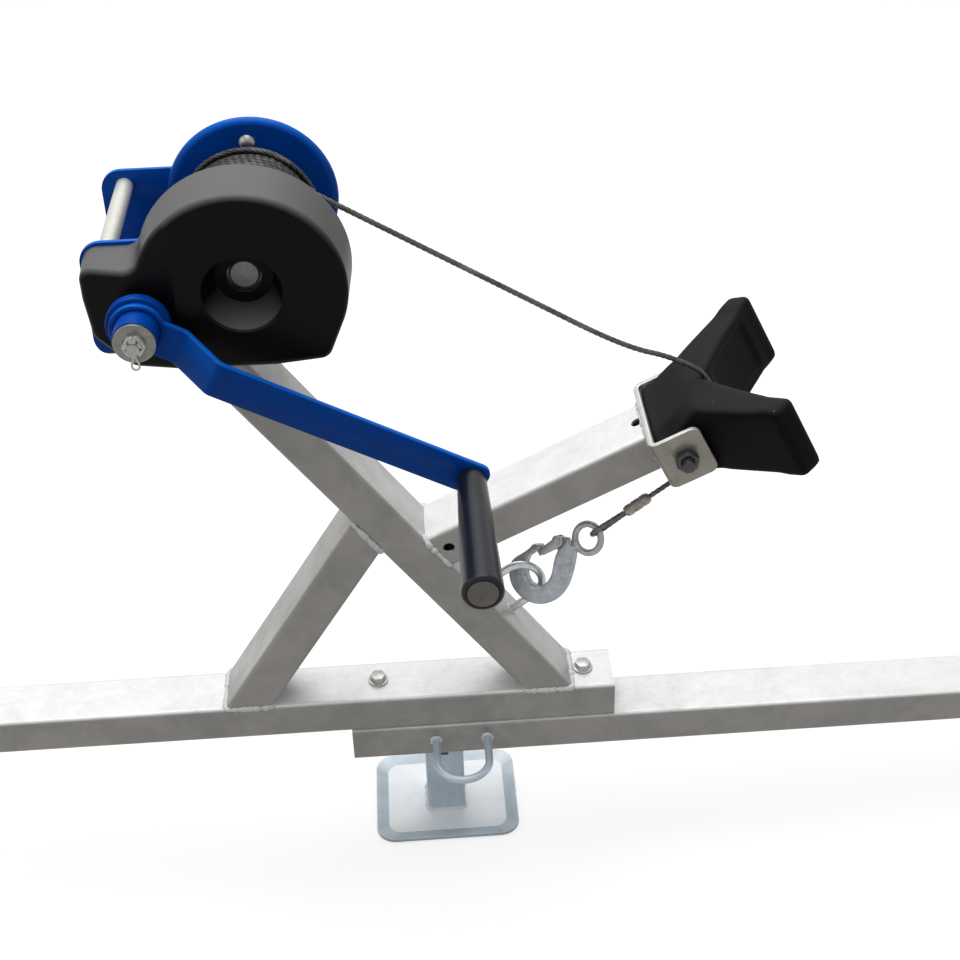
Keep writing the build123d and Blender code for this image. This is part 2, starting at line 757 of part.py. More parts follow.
thread_end = -170.0
with BuildPart() as pinion:
    with BuildSketch(facing(pinion_x, pinion_z, pinion_front + pinion_wide)):
        make_face(gear_outline(pinion_teeth, pinion_addendum, wheel_addendum,
                               pinion_bearing - 180))
    extrude(amount=pinion_wide)
    shaft_back = side_outer + collar_gap + collar_thick
    with BuildSketch(facing(pinion_x, pinion_z, shaft_back)):
        Circle(crank_shaft / 2)
    extrude(amount=shaft_back - hub_end)
    with BuildSketch(facing(pinion_x, pinion_z, shaft_back)):
        Circle(crank_shaft / 2 + 4)
    extrude(amount=collar_thick)
    with BuildSketch(facing(pinion_x, pinion_z, hub_end)):
        Circle(crank_thread / 2)
    extrude(amount=hub_end - thread_end)
save(pinion, "pinion_shaft")

# ---------------------------------------------------------------- gear cover


def cover_sketch(inset):
    """The cover's outline round the gears at its rim, or inset from it."""
    rise = math.asin((cover_lobe_top - drum_z) / cover_radius)
    lower = math.radians(-20)
    low_right = math.radians(-45)
    with BuildSketch() as sketch:
        with BuildLine():
            start = (drum_x - cover_radius * math.cos(rise), cover_lobe_top)
            end = (drum_x + cover_radius * math.cos(lower),
                   drum_z + cover_radius * math.sin(lower))
            ThreePointArc(start, (drum_x + cover_radius * 0.6, drum_z + cover_radius * 0.8), end)
            Polyline(end, (drum_x + cover_radius * 1.08 * math.cos(low_right),
                           drum_z + cover_radius * 1.08 * math.sin(low_right)),
                     (drum_x + cover_radius * 0.25, cover_bottom), (pinion_x - 12, cover_bottom),
                     (cover_left + 4, cover_bottom + 26), (cover_left, cover_lobe_top - 30),
                     (cover_left, cover_lobe_top), start)
        make_face()
        fillet(sketch.vertices(), cover_corner)
        if inset:
            offset(amount=-inset, mode=Mode.REPLACE)
    return sketch.sketch.face()


def cover_block(inset):
    """What the cover's skin encloses, or with an inset what is left inside its walls."""
    front = cover_front + inset
    fall = math.tan(math.radians(cover_slope))
    with BuildPart() as block:
        with BuildSketch(Plane(origin=(0, cover_back, 0), x_dir=(1, 0, 0), z_dir=(0, -1, 0))):
            add(cover_sketch(inset))
        extrude(amount=cover_back - front, taper=cover_draft)
        with BuildSketch(Plane.XY):
            with BuildLine():
                Polyline((cover_slope_from, front), (0, front), (0, 0), (2 * cover_slope_from, 0),
                         (2 * cover_slope_from, front - cover_slope_from * fall), close=True)
            make_face()
        extrude(amount=2 * drum_z, mode=Mode.INTERSECT)
    return block


with BuildPart() as gear_cover:
    cover_back = -side_outer - cover_back_gap
    cover_tall = cover_back - cover_front
    add(cover_block(0).part)
    rim_edges = [edge for face in gear_cover.faces().filter_by(lambda f: f.normal_at().Y < -0.9)
                 for edge in face.outer_wire().edges()
                 if abs(edge.center().X - cover_slope_from) > 0.01]
    fillet(rim_edges, cover_edge)
    add(cover_block(cover_wall).part, mode=Mode.SUBTRACT)
    # dished recess round the axle's end, and its floor
    with BuildSketch(along_axle(drum_x, drum_z)):
        floor = cover_front + recess_deep
        narrow = recess_radius - recess_taper
        with BuildLine():
            Polyline((cover_front + cover_wall, 0), (floor + cover_wall, 0),
                     (floor + cover_wall, narrow + cover_wall),
                     (cover_front + cover_wall, recess_radius + cover_wall), close=True)
        make_face()
    revolve(axis=axle_axis(drum_x, drum_z))
    with BuildSketch(along_axle(drum_x, drum_z)):
        with BuildLine():
            Polyline((cover_front, 0), (floor, 0), (floor, narrow),
                     (cover_front + recess_edge, recess_radius),
                     (cover_front + recess_edge / 4, recess_radius + recess_edge / 4),
                     (cover_front, recess_radius + recess_edge), close=True)
        make_face()
    revolve(axis=axle_axis(drum_x, drum_z), mode=Mode.SUBTRACT)
    with BuildSketch(facing(drum_x, drum_z, cover_back)):
        Circle(axle_window)
        with Locations((pinion_x - drum_x, pinion_z - drum_z)):
            Circle(shaft_window)
    extrude(amount=2 * cover_tall, mode=Mode.SUBTRACT)
save(gear_cover, "gear_cover")

# ---------------------------------------------------------------- crank

ring_back = cover_front - hub_ring_gap
bar_back = bar_inner + bar_thick / 2
ring_front = bar_back
with BuildPart() as crank_hub:
    with BuildSketch(along_axle(pinion_x, pinion_z)):
        with BuildLine():
            bore = crank_shaft / 2
            Polyline((ring_back, bore), (ring_back, hub_ring), (ring_front, hub_ring),
                     (ring_front, hub_barrel), (hub_end, hub_barrel), (hub_end, bore), close=True)
        make_face()
    revolve(axis=axle_axis(pinion_x, pinion_z))
save(crank_hub, "crank_hub")

bar_way = heading(crank_angle)
shaft_front = Vector(pinion_x, 0, pinion_z)
with BuildPart() as crank_arm:
    # the bar's side view: x runs along it, y is Y
    with BuildSketch(Plane(origin=shaft_front, x_dir=bar_way, z_dir=bar_way.cross(Vector(0, 1, 0)))):
        end = crank_radius + bar_beyond_grip
        t = bar_thick / 2
        with BuildLine():
            slope = math.atan2(bar_outer - bar_inner, bend_end - bend_start)
            shift = t * math.tan(abs(slope) / 2)
            FilletPolyline((0, bar_inner + t), (bend_start + shift, bar_inner + t),
                           (bend_end + shift, bar_outer + t), (end, bar_outer + t),
                           radius=bend_radius)
            FilletPolyline((0, bar_inner - t), (bend_start - shift, bar_inner - t),
                           (bend_end - shift, bar_outer - t), (end, bar_outer - t),
                           radius=bend_radius)
            Line((0, bar_inner + t), (0, bar_inner - t))
            Line((end, bar_outer + t), (end, bar_outer - t))
        make_face()
    extrude(amount=bar_wide / 2, both=True)
    with BuildSketch(facing(pinion_x, pinion_z, bar_back)):
        Circle(hub_eye)
    extrude(amount=bar_thick)
    with BuildSketch(facing(pinion_x, pinion_z, 0)):
        Circle(hub_barrel)
    extrude(amount=-2 * bar_outer, mode=Mode.SUBTRACT)
    with BuildSketch(facing(pinion_x + crank_radius * bar_way.X,
                            pinion_z + crank_radius * bar_way.Z, 0)):
        Circle(spindle / 2)
    extrude(amount=-2 * bar_outer, mode=Mode.SUBTRACT)
    fillet(crank_arm.edges().filter_by(Axis.Y).sort_by(
        lambda e: (e.center() - shaft_front).dot(bar_way))[-2:], 9)
save(crank_arm, "crank_arm")

with BuildPart() as hub_washer:
    with BuildSketch(facing(pinion_x, pinion_z, hub_end)):
        Circle(washer_across / 2)
        Circle(crank_thread / 2, mode=Mode.SUBTRACT)
    extrude(amount=washer_thick)
save(hub_washer, "hub_washer")

with BuildPart() as castle_nut:
    nut_back = hub_end - washer_thick
    with BuildSketch(facing(pinion_x, pinion_z, nut_back)):
        RegularPolygon(castle_across / 2, 6, major_radius=False)
        Circle(crank_thread / 2, mode=Mode.SUBTRACT)
    extrude(amount=castle_tall * 0.6)
    with BuildSketch(facing(pinion_x, pinion_z, nut_back - castle_tall * 0.6)):
        Circle(castle_across / 2 - 1)
        Circle(crank_thread / 2, mode=Mode.SUBTRACT)
        with PolarLocations(0, 3):
            Rectangle(castle_across, castle_slot, mode=Mode.SUBTRACT)
    extrude(amount=castle_tall * 0.4)
save(castle_nut, "castle_nut")

# ---------------------------------------------------------------- grip

grip_x = pinion_x + crank_radius * bar_way.X
grip_z = pinion_z + crank_radius * bar_way.Z
grip_back = bar_outer - bar_thick / 2 - grip_gap
grip_front = grip_back - grip_long
with BuildPart() as grip:
    with BuildSketch(along_axle(grip_x, grip_z)):
        bore = spindle / 2 + running_gap
        cup = end_disc / 2 + grip_gap
        with BuildLine():
            Polyline((grip_back, bore), (grip_back, grip_inner), (grip_front, grip_outer),
                     (grip_front, cup), (grip_front + end_disc_thick + grip_gap, cup),
                     (grip_front + end_disc_thick + grip_gap, bore), close=True)
        make_face()
    revolve(axis=axle_axis(grip_x, grip_z))
    fillet(grip.edges().filter_by(GeomType.CIRCLE).group_by(Axis.Y)[0].sort_by(
        SortBy.RADIUS)[-1], grip_round)
save(grip, "grip")

with BuildPart() as grip_spindle:
    with BuildSketch(facing(grip_x, grip_z, bar_outer + bar_thick / 2 + 1.5)):
        Circle(spindle / 2)
    extrude(amount=bar_outer + bar_thick / 2 + 1.5 - grip_front)
    with BuildSketch(facing(grip_x, grip_z, grip_front + end_disc_thick)):
        Circle(end_disc / 2)
    extrude(amount=end_disc_thick)
save(grip_spindle, "grip_spindle")

# ---------------------------------------------------------------- hook

eye_centre = Vector(eye_x, eye_y, eye_z)
lean, twist = math.radians(hook_lean), math.radians(hook_twist)
hook_down = Vector(-math.cos(lean), 0, -math.sin(lean))
hook_side = Vector(-math.sin(lean) * math.cos(twist), math.sin(twist),
                   math.cos(lean) * math.cos(twist))
hook_face = hook_side.cross(hook_down)
hook_plane = Plane(origin=eye_centre, x_dir=hook_side, z_dir=hook_face)

latch_rivet = (19.0, 25.0)
lug_thick = 6.0
latch_sheet = 1.2
latch_gap = 0.2
rivet = 3.0
with BuildPart() as hook:
    with BuildSketch(hook_plane):
        with BuildLine():
            Spline((2, 16), (-10, 34), (-18, 54), (-16, 76), (4, 93.5), (28, 92), (40, 77),
                   (37, 60), (36, 47))
            Polyline((36, 47), (30, 41), (27, 44), (31, 60))
            Spline((31, 60), (25, 71), (12, 77), (1, 69), (0, 56), (8, 42), (12, 33))
            Polyline((12, 33), (13, 16), (2, 16))
        make_face()
    extrude(amount=hook_thick / 2, both=True)
    # thin lug that the latch straddles
    with BuildSketch(hook_plane):
        with Locations(latch_rivet):
            Circle(4.5)
        Polygon((8, 20), (14, 14), (22, 21), (18, 30), (10, 34), align=None)
    extrude(amount=lug_thick / 2, both=True)
    with BuildSketch(hook_plane):
        Circle(hook_eye_hole)
    extrude(amount=hook_thick, both=True, mode=Mode.SUBTRACT)
    with Locations(hook_plane):
        Torus((hook_eye_outer + hook_eye_hole) / 2, (hook_eye_outer - hook_eye_hole) / 2)
    with BuildSketch(hook_plane):
        with Locations(latch_rivet):
            Circle(rivet / 2)
    extrude(amount=hook_thick, both=True, mode=Mode.SUBTRACT)
save(hook, "hook")

latch_half = lug_thick / 2 + latch_gap + latch_sheet
with BuildPart() as latch:
    with BuildSketch(hook_plane):
        with Locations(latch_rivet):
            Circle(5.5)
        Polygon((14, 27.5), (22.6, 20.8), (26.0, 48), (21.5, 50), align=None)
    extrude(amount=latch_half, both=True)
    with BuildSketch(hook_plane):
        Polygon((8, 12), (30, 12), (23.4, 26), (24.6, 47), (18, 60), (8, 40), align=None)
    extrude(amount=latch_half - latch_sheet, both=True, mode=Mode.SUBTRACT)
    with BuildSketch(hook_plane):
        with Locations(latch_rivet):
            Circle(rivet / 2)
    extrude(amount=hook_thick, both=True, mode=Mode.SUBTRACT)
save(latch, "hook_latch")

with BuildPart() as rivet_part:
    with BuildSketch(hook_plane):
        with Locations(latch_rivet):
            Circle(rivet / 2)
    extrude(amount=latch_half, both=True)
    for end in (1, -1):
        with BuildSketch(hook_plane.offset(end * latch_half)):
            with Locations(latch_rivet):
                Circle(rivet)
        extrude(amount=end * 1.2)
save(rivet_part, "latch_rivet")

# ---------------------------------------------------------------- wire rope


def beside_stop(out, up):
    """A point in the plane of the stand, measured from the notch of the bow stop."""
    return block_plan.from_local_coords(Vector(notch_from_web + out, 0, up))


lane_y = lane_turns * wind_step
lane_rope = wind_radius - lane_depth + rope / 2 + rope_gap
rope_start = Vector(drum_x, lane_y, drum_z) + heading(rope_leaves) * lane_rope
ring_middle = (hook_eye_outer + hook_eye_hole) / 2
under_stop = beside_stop(2.5, -stop_tall / 2 - 6.5)
pull = (under_stop - eye_centre).normalized()
ring_way = (pull - hook_face * pull.dot(hook_face)).normalized()
ring_point = eye_centre + ring_way * ring_middle
pull = (under_stop - ring_point).normalized()
ferrule_start = ring_point + pull * loop_long
ferrule_end = ferrule_start + pull * ferrule_long

rope_points = [
    rope_start,
    Vector(104, -3.8, 601.2),
    Vector(157, -2.2, 567.3),
    Vector(192, -1.2, 549.0),
    Vector(215, -0.5, 541.8),
    Vector(235, 0, 532.0),
    beside_stop(1.5, stop_tall / 2 + 5.5),
    beside_stop(4.0, 27),
    beside_stop(4.6, -2),
    beside_stop(4.0, -30),
    under_stop,
    ferrule_end,
]
runs = [(b - a).length for a, b in zip(rope_points, rope_points[1:])]
turns = [(b - a).get_angle(c - b) for a, b, c in zip(rope_points, rope_points[1:], rope_points[2:])]
radii = [0.45 * min(before, after) / math.tan(math.radians(turn / 2))
         for before, after, turn in zip(runs, runs[1:], turns)]
with BuildPart() as rope_line:
    with BuildLine() as route:
        FilletPolyline(*rope_points, radius=radii)
    with BuildSketch(Plane(origin=rope_start, z_dir=rope_points[1] - rope_start)):
        Circle(rope / 2)
    sweep(path=route.wires()[0])
save(rope_line, "rope_line")
print("rope: runs", [round(v, 1) for v in runs])
print("rope: radii", [round(v, 1) for v in radii])
route_length = route.wires()[0].length
print("rope: length", round(route_length, 1), "volume over section times length",
      round(rope_line.part.volume / (route_length * math.pi * rope ** 2 / 4), 4))

# the eye of the rope, round the hook's ring, with both legs in the ferrule
loop_plane = Plane(origin=ring_point, x_dir=pull, z_dir=ring_way.cross(hook_face))
loop_radius = (hook_eye_outer - hook_eye_hole) / 2 + rope / 2 + rope_gap
leg_apart = rope / 2 + 0.1
leg_end = loop_long - rope_gap - 0.2
leg_reach = math.hypot(leg_end, leg_apart)
touch = math.atan2(leg_apart, leg_end) + math.acos(loop_radius / leg_reach)
upper_touch = (loop_radius * math.cos(touch), loop_radius * math.sin(touch))
lower_touch = (upper_touch[0], -upper_touch[1])
with BuildPart() as rope_loop:
    with BuildLine(loop_plane) as eye_route:
        Line((leg_end, leg_apart), upper_touch)
        ThreePointArc(upper_touch, (-loop_radius, 0), lower_touch)
        Line(lower_touch, (leg_end, -leg_apart))
    eye_start = loop_plane.from_local_coords(Vector(leg_end, leg_apart, 0))
    eye_next = loop_plane.from_local_coords(Vector(*upper_touch, 0))
    with BuildSketch(Plane(origin=eye_start, z_dir=eye_next - eye_start)):
        Circle(rope / 2)
    sweep(path=eye_route.wires()[0])
save(rope_loop, "rope_loop")

with BuildPart() as ferrule:
    with BuildSketch(Plane(origin=ferrule_start, x_dir=loop_plane.y_dir, z_dir=pull)):
        SlotOverall(ferrule_wide, ferrule_thick)
    extrude(amount=ferrule_long)
save(ferrule, "rope_ferrule")
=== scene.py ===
"""Winch stand of a boat trailer: the finish of its tubes, winch, rope, hook and bow stop.

Metres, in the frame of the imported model: +X to the rear, +Z up, and -Y is the crank's side.
"""
import json
import math

import bmesh
import bpy
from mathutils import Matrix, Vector

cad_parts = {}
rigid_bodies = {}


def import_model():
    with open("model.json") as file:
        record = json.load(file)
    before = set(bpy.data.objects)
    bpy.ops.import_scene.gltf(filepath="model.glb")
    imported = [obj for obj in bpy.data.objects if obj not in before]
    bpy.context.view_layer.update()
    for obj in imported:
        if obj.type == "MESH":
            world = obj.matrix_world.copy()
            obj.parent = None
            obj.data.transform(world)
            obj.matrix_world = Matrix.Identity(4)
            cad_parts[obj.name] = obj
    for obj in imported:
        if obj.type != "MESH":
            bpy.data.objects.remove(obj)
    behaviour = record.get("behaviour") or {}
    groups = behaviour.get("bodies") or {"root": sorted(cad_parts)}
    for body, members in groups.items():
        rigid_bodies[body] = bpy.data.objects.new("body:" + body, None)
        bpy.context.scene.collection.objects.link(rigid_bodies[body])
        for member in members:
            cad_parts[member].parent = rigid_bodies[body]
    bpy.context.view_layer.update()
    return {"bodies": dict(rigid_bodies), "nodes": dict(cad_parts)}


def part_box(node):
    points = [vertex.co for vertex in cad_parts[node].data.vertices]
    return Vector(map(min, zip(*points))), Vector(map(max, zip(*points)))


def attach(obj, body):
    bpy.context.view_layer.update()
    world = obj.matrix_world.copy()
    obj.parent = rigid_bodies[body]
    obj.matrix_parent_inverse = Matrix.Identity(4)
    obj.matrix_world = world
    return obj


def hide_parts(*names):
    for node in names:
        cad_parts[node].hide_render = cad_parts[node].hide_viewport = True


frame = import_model()
nodes = frame["nodes"]

# ---------------------------------------------------------------- room, lamps and camera
# A plain pale floor under large soft lamps, seen from the crank's side and from above. The
# floor and the space behind it look white, and the floor keeps the stand's shadow.

FLOOR_SIDE = 30.0
FLOOR_COLOUR = (0.40, 0.375, 0.35, 1)
FLOOR_ROUGHNESS, FLOOR_SHINE = 0.9, 0.1
FLOOR_GLOW = (0.97, 0.985, 1.0, 1)
FLOOR_SEEN = 0.76                               # strength of the glow, for a direct look
SKY_COLOUR = (0.93, 0.96, 1.0, 1)
SKY_LEVEL = 0.34
CAMERA_PLACE = (-0.00768, -1.25440, 1.29001)
CAMERA_TURN = (55.3006, 1.1026, -4.1803)        # degrees, about X, Y and Z
LENS, SENSOR = 61.093, 36.0                     # mm
CAMERA_SHIFT = (-0.02192, -0.00521)


def add_object(name, data):
    made = bpy.data.objects.new(name, data)
    bpy.context.scene.collection.objects.link(made)
    return made


def feed(tree, value, socket):
    """Links a socket to an input, or sets a plain value on it."""
    if isinstance(value, bpy.types.NodeSocket):
        tree.links.new(value, socket)
    else:
        socket.default_value = value


def add_node(tree, kind, *fed, **values):
    """A new node. Its first inputs take fed, in order; values are attributes or named inputs."""
    made = tree.nodes.new(kind)
    for name, value in values.items():
        if hasattr(made, name):
            setattr(made, name, value)
        else:
            feed(tree, value, made.inputs[name.replace("_", " ")])
    for value, socket in zip(fed, made.inputs):
        feed(tree, value, socket)
    return made


def maths(tree, operation, *values, **more):
    """The result of a math node fed by sockets or numbers."""
    return add_node(tree, "ShaderNodeMath", *values, operation=operation, **more).outputs[0]


def seen_directly(tree):
    """1 where a camera, mirror or glass ray looks at the surface, for a white background."""
    rays = add_node(tree, "ShaderNodeLightPath").outputs
    mirrored = maths(tree, "MAXIMUM", rays["Is Camera Ray"], rays["Is Glossy Ray"])
    return maths(tree, "MAXIMUM", mirrored, rays["Is Transmission Ray"])


floor_mesh = bpy.data.meshes.new("floor")
half = FLOOR_SIDE / 2
floor_mesh.from_pydata([(-half, -half, 0), (half, -half, 0), (half, half, 0), (-half, half, 0)],
                       [], [(0, 1, 2, 3)])
add_object("floor", floor_mesh)

floor_finish = bpy.data.materials.new("floor_paper")
floor_finish.use_nodes = True
tree = floor_finish.node_tree
paper = tree.nodes["Principled BSDF"]
paper.inputs["Base Color"].default_value = FLOOR_COLOUR
paper.inputs["Roughness"].default_value = FLOOR_ROUGHNESS
paper.inputs["Specular IOR Level"].default_value = FLOOR_SHINE
glow = add_node(tree, "ShaderNodeEmission", Color=FLOOR_GLOW,
                Strength=maths(tree, "MULTIPLY", seen_directly(tree), FLOOR_SEEN))
lit = add_node(tree, "ShaderNodeAddShader", paper.outputs[0], glow.outputs[0])
tree.links.new(lit.outputs[0], tree.nodes["Material Output"].inputs["Surface"])
floor_mesh.materials.append(floor_finish)

world = bpy.data.worlds.new("studio")
bpy.context.scene.world = world
world.use_nodes = True
tree = world.node_tree
sky = tree.nodes["Background"]
sky.inputs["Color"].default_value = SKY_COLOUR
sky.inputs["Strength"].default_value = SKY_LEVEL
backdrop = add_node(tree, "ShaderNodeBackground", Color=(1, 1, 1, 1), Strength=1.0)
mixed = add_node(tree, "ShaderNodeMixShader", seen_directly(tree), sky.outputs[0],
                 backdrop.outputs[0])
tree.links.new(mixed.outputs[0], tree.nodes["World Output"].inputs["Surface"])


def soft_lamp(name, place, aim, side, power):
    """A square lamp at a place, turned to shine at another; side in metres, power in watts."""
    lamp = bpy.data.lights.new(name, "AREA")
    lamp.size = side
    lamp.energy = power
    made = add_object(name, lamp)
    made.location = place
    made.rotation_mode = "QUATERNION"
    made.rotation_quaternion = (Vector(aim) - Vector(place)).to_track_quat("-Z", "Y")


soft_lamp("lamp_above", (-0.12, 1.15, 3.0), (0, 0, 0.4), side=2.4, power=60)
soft_lamp("lamp_over", (0.1, -0.45, 2.7), (0, 0, 0.2), side=1.5, power=15)
soft_lamp("lamp_left", (-2.2, -0.9, 1.9), (-0.1, 0, 0.5), side=1.2, power=7)

camera_data = bpy.data.cameras.new("camera")
camera_data.lens = LENS
camera_data.sensor_width = SENSOR
camera_data.shift_x, camera_data.shift_y = CAMERA_SHIFT
camera = add_object("camera", camera_data)
camera.location = CAMERA_PLACE
camera.rotation_euler = [math.radians(a) for a in CAMERA_TURN]
bpy.context.scene.camera = camera
bpy.context.scene.view_settings.view_transform = "Standard"

# ---------------------------------------------------------------- drawbar, post, brace, arm, bed
# Rectangular steel tube and a plate, dipped in molten zinc: faint crystals a few millimetres
# across, dull runs and small pimples. What faces up stays bright, and the sides are painted
# darker and warmer, as painted shade.

WOBBLE_SCALE, CRYSTAL_WOBBLE = 60.0, (0.008, 0.008, 0.008)
PATCH_SPAN, PATCH_DULLS = (0.36, 0.70), 0.45    # where cloudy patches begin and are full
MOTTLE_SPAN = (0.42, 0.62)                      # and where they darken the painted shade
RUN_SCALE, RUN_STRETCH, RUN_SPAN = 7.0, (1.0, 5.0, 6.0), (0.52, 0.70)
RUN_COLOUR = (0.30, 0.28, 0.25, 1)
SHADE_PATCH_DARKER = (0.80, 0.81, 0.81, 1)
PIMPLE_SCALE, PIMPLE_SHARE = 240.0, 0.4
ZINC_ROUGHNESS = (0.30, 0.55)                   # of the brightest and the dullest zinc
RELIEF = 0.0006             # depth that a bump of strength 1 stands for
PLATE_EDGE = 0.0008
EDGE_ANGLE = 32.0           # degrees between two faces, from which their edge is rounded
MERGE_WITHIN, FLAT_WITHIN = 1e-6, math.radians(0.5)
FLOAT, COLOUR = "NodeSocketFloat", "NodeSocketColor"


def shader_group(name, inputs):
    """An empty shader node group with (name, socket type, value) inputs, and its two ends."""
    group = bpy.data.node_groups.new(name, "ShaderNodeTree")
    for label, kind, value in inputs:
        socket = group.interface.new_socket(label, in_out="INPUT", socket_type=kind)
        socket.default_value = value
    for label, kind in (("Color", COLOUR), ("Roughness", FLOAT), ("Height", FLOAT)):
        group.interface.new_socket(label, in_out="OUTPUT", socket_type=kind)
    return (group, add_node(group, "NodeGroupInput").outputs,
            add_node(group, "NodeGroupOutput").inputs)


def between(tree, value, low, high, out_low=0.0, out_high=1.0):
    """value mapped from low..high to out_low..out_high."""
    return add_node(tree, "ShaderNodeMapRange", value, low, high, out_low,
                    out_high).outputs["Result"]


def blended(tree, factor, first, second, blend="MIX"):
    """Two colours mixed; each is a socket or a plain colour."""
    mix = add_node(tree, "ShaderNodeMix", data_type="RGBA", blend_type=blend, Factor=factor)
    for name, colour in (("A", first), ("B", second)):
        feed(tree, colour, next(s for s in mix.inputs if s.name == name and s.type == "RGBA"))
    return next(s for s in mix.outputs if s.type == "RGBA")


def noise(tree, place, **values):
    return add_node(tree, "ShaderNodeTexNoise", Vector=place, **values).outputs


zinc_group, given, result = shader_group(
    "zinc_crystals",
    [("Bright", COLOUR, (0.8, 0.81, 0.82, 1)), ("Dull", COLOUR, (0.5, 0.49, 0.47, 1)),
     ("Crystal scale", FLOAT, 120.0), ("Crystal contrast", FLOAT, 0.25),
     ("Patch scale", FLOAT, 14.0), ("Stain", FLOAT, 0.2), ("Painted shade", FLOAT, 0.0),
     ("Painted shade colour", COLOUR, (0.285, 0.267, 0.243, 1)), ("Painted shade from", FLOAT, 0.45),
     ("Painted shade to", FLOAT, 0.88)])
tree = zinc_group
coordinates = add_node(tree, "ShaderNodeTexCoord").outputs
place = coordinates["Object"]
wobble = noise(tree, place, Scale=WOBBLE_SCALE, Detail=2.0)["Color"]
pushed = add_node(tree, "ShaderNodeVectorMath", wobble, CRYSTAL_WOBBLE, place,
                  operation="MULTIPLY_ADD").outputs[0]
crystal = add_node(tree, "ShaderNodeTexVoronoi", Vector=pushed, Scale=given["Crystal scale"])
grey = add_node(tree, "ShaderNodeSeparateColor", crystal.outputs["Color"]).outputs[0]
patch = noise(tree, place, Scale=given["Patch scale"], Detail=5.0, Roughness=0.62,
              Distortion=0.6)["Fac"]
facet = maths(tree, "MULTIPLY", grey, given["Crystal contrast"])
clouded = between(tree, patch, *PATCH_SPAN, 0.0, PATCH_DULLS)
dull = maths(tree, "ADD", facet, clouded, use_clamp=True)
base = blended(tree, dull, given["Bright"], given["Dull"])
stretched = add_node(tree, "ShaderNodeMapping", Vector=place, Scale=RUN_STRETCH).outputs[0]
run = noise(tree, stretched, Scale=RUN_SCALE, Detail=8.0, Roughness=0.7)["Fac"]
stain = maths(tree, "MULTIPLY", between(tree, run, *RUN_SPAN), given["Stain"])
stained = blended(tree, stain, base, RUN_COLOUR)
# The sides are painted darker and warmer than what faces up, by the way each face points: painted
# shade, mottled by the cloudy patches.
upward = add_node(tree, "ShaderNodeSeparateXYZ", coordinates["Normal"]).outputs["Z"]
painted_shade = maths(tree, "MULTIPLY",
             between(tree, upward, given["Painted shade from"], given["Painted shade to"], 1.0, 0.0), given["Painted shade"])
mottled_shade = blended(tree, between(tree, patch, *MOTTLE_SPAN), given["Painted shade colour"], SHADE_PATCH_DARKER,
                  "MULTIPLY")
pimple = noise(tree, place, Scale=PIMPLE_SCALE, Detail=3.0)["Fac"]
feed(tree, blended(tree, painted_shade, stained, mottled_shade), result["Color"])
feed(tree, between(tree, dull, 0.0, 1.0, *ZINC_ROUGHNESS), result["Roughness"])
feed(tree, maths(tree, "MULTIPLY_ADD", pimple, PIMPLE_SHARE, patch), result["Height"])


def finish_with(name, group, values, metallic, bump, **more):
    """A material whose colour, roughness and relief come from a group; more are shader inputs."""
    made = bpy.data.materials.new(name)
    made.use_nodes = True
    tree = made.node_tree
    shader = tree.nodes["Principled BSDF"]
    shader.inputs["Metallic"].default_value = metallic
    for label, value in more.items():
        shader.inputs[label.replace("_", " ")].default_value = value
    pattern = add_node(tree, "ShaderNodeGroup", node_tree=group)
    for label, value in values.items():
        pattern.inputs[label].default_value = value
    relief = add_node(tree, "ShaderNodeBump", Strength=bump, Distance=RELIEF,
                      Height=pattern.outputs["Height"])
    tree.links.new(pattern.outputs["Color"], shader.inputs["Base Color"])
    tree.links.new(pattern.outputs["Roughness"], shader.inputs["Roughness"])
    tree.links.new(relief.outputs[0], shader.inputs["Normal"])
    return made


def wear(material, *names):
    """Gives CAD nodes their material."""
    for name in names:
        nodes[name].data.materials.clear()
        nodes[name].data.materials.append(material)


def mesh_of(made):
    """The mesh that Blender makes of a curve, or of an object with its modifiers."""
    bpy.context.view_layer.update()
    return bpy.data.meshes.new_from_object(made.evaluated_get(
        bpy.context.evaluated_depsgraph_get()))


def settle(made):
    """Keeps the mesh that an object's modifiers make, smooth shaded, and drops the modifiers."""
    material = made.data.materials[0]
    final = mesh_of(made)
    made.modifiers.clear()
    made.data = final
    final.materials.clear()
    final.materials.append(material)
    for polygon in final.polygons:
        polygon.use_smooth = True


def even_shading(made):
    """Lets the large faces set the shading, so that a rounded edge doesn't bend their light."""
    made.modifiers.new("evened", "WEIGHTED_NORMAL").keep_sharp = True
    settle(made)


def softened(node, width, segments=2, angle=EDGE_ANGLE):
    """A copy of a CAD node whose edges are rounded, which stands for the node."""
    body = next(b for b in frame["bodies"] if nodes[node].parent == frame["bodies"][b])
    mesh = nodes[node].data.copy()
    shape = bmesh.new()
    shape.from_mesh(mesh)
    bmesh.ops.remove_doubles(shape, verts=shape.verts, dist=MERGE_WITHIN)
    bmesh.ops.dissolve_limit(shape, angle_limit=FLAT_WITHIN, verts=shape.verts,
                             edges=shape.edges)
    shape.to_mesh(mesh)
    shape.free()
    made = add_object(node + "_finished", mesh)
    rounding = made.modifiers.new("rounding", "BEVEL")
    rounding.width = width
    rounding.segments = segments
    rounding.limit_method = "ANGLE"
    rounding.angle_limit = math.radians(angle)
    rounding.use_clamp_overlap = True
    even_shading(made)
    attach(made, body)
    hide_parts(node)
    return made


# The tubes' sides get the zinc's painted shade.
galvanised = finish_with(
    "galvanised_tube", zinc_group,
    {"Bright": (0.90, 0.91, 0.91, 1), "Dull": (0.62, 0.62, 0.59, 1), "Crystal scale": 230.0,
     "Crystal contrast": 0.18, "Patch scale": 20.0, "Stain": 0.14, "Painted shade": 0.90},
    metallic=0.15, bump=0.12, Specular_IOR_Level=0.6)
wear(galvanised, "front_drawbar_tube", "rear_drawbar_tube", "post_tube", "brace_tube",
     "bow_arm_tube", "winch_bed")
softened("winch_bed", PLATE_EDGE)

# ---------------------------------------------------------------- vents of the bow arm
# Two drilled holes let the zinc run out of the arm after the dip: one low in its side by the
# post, and one in its top against the bracket's web.

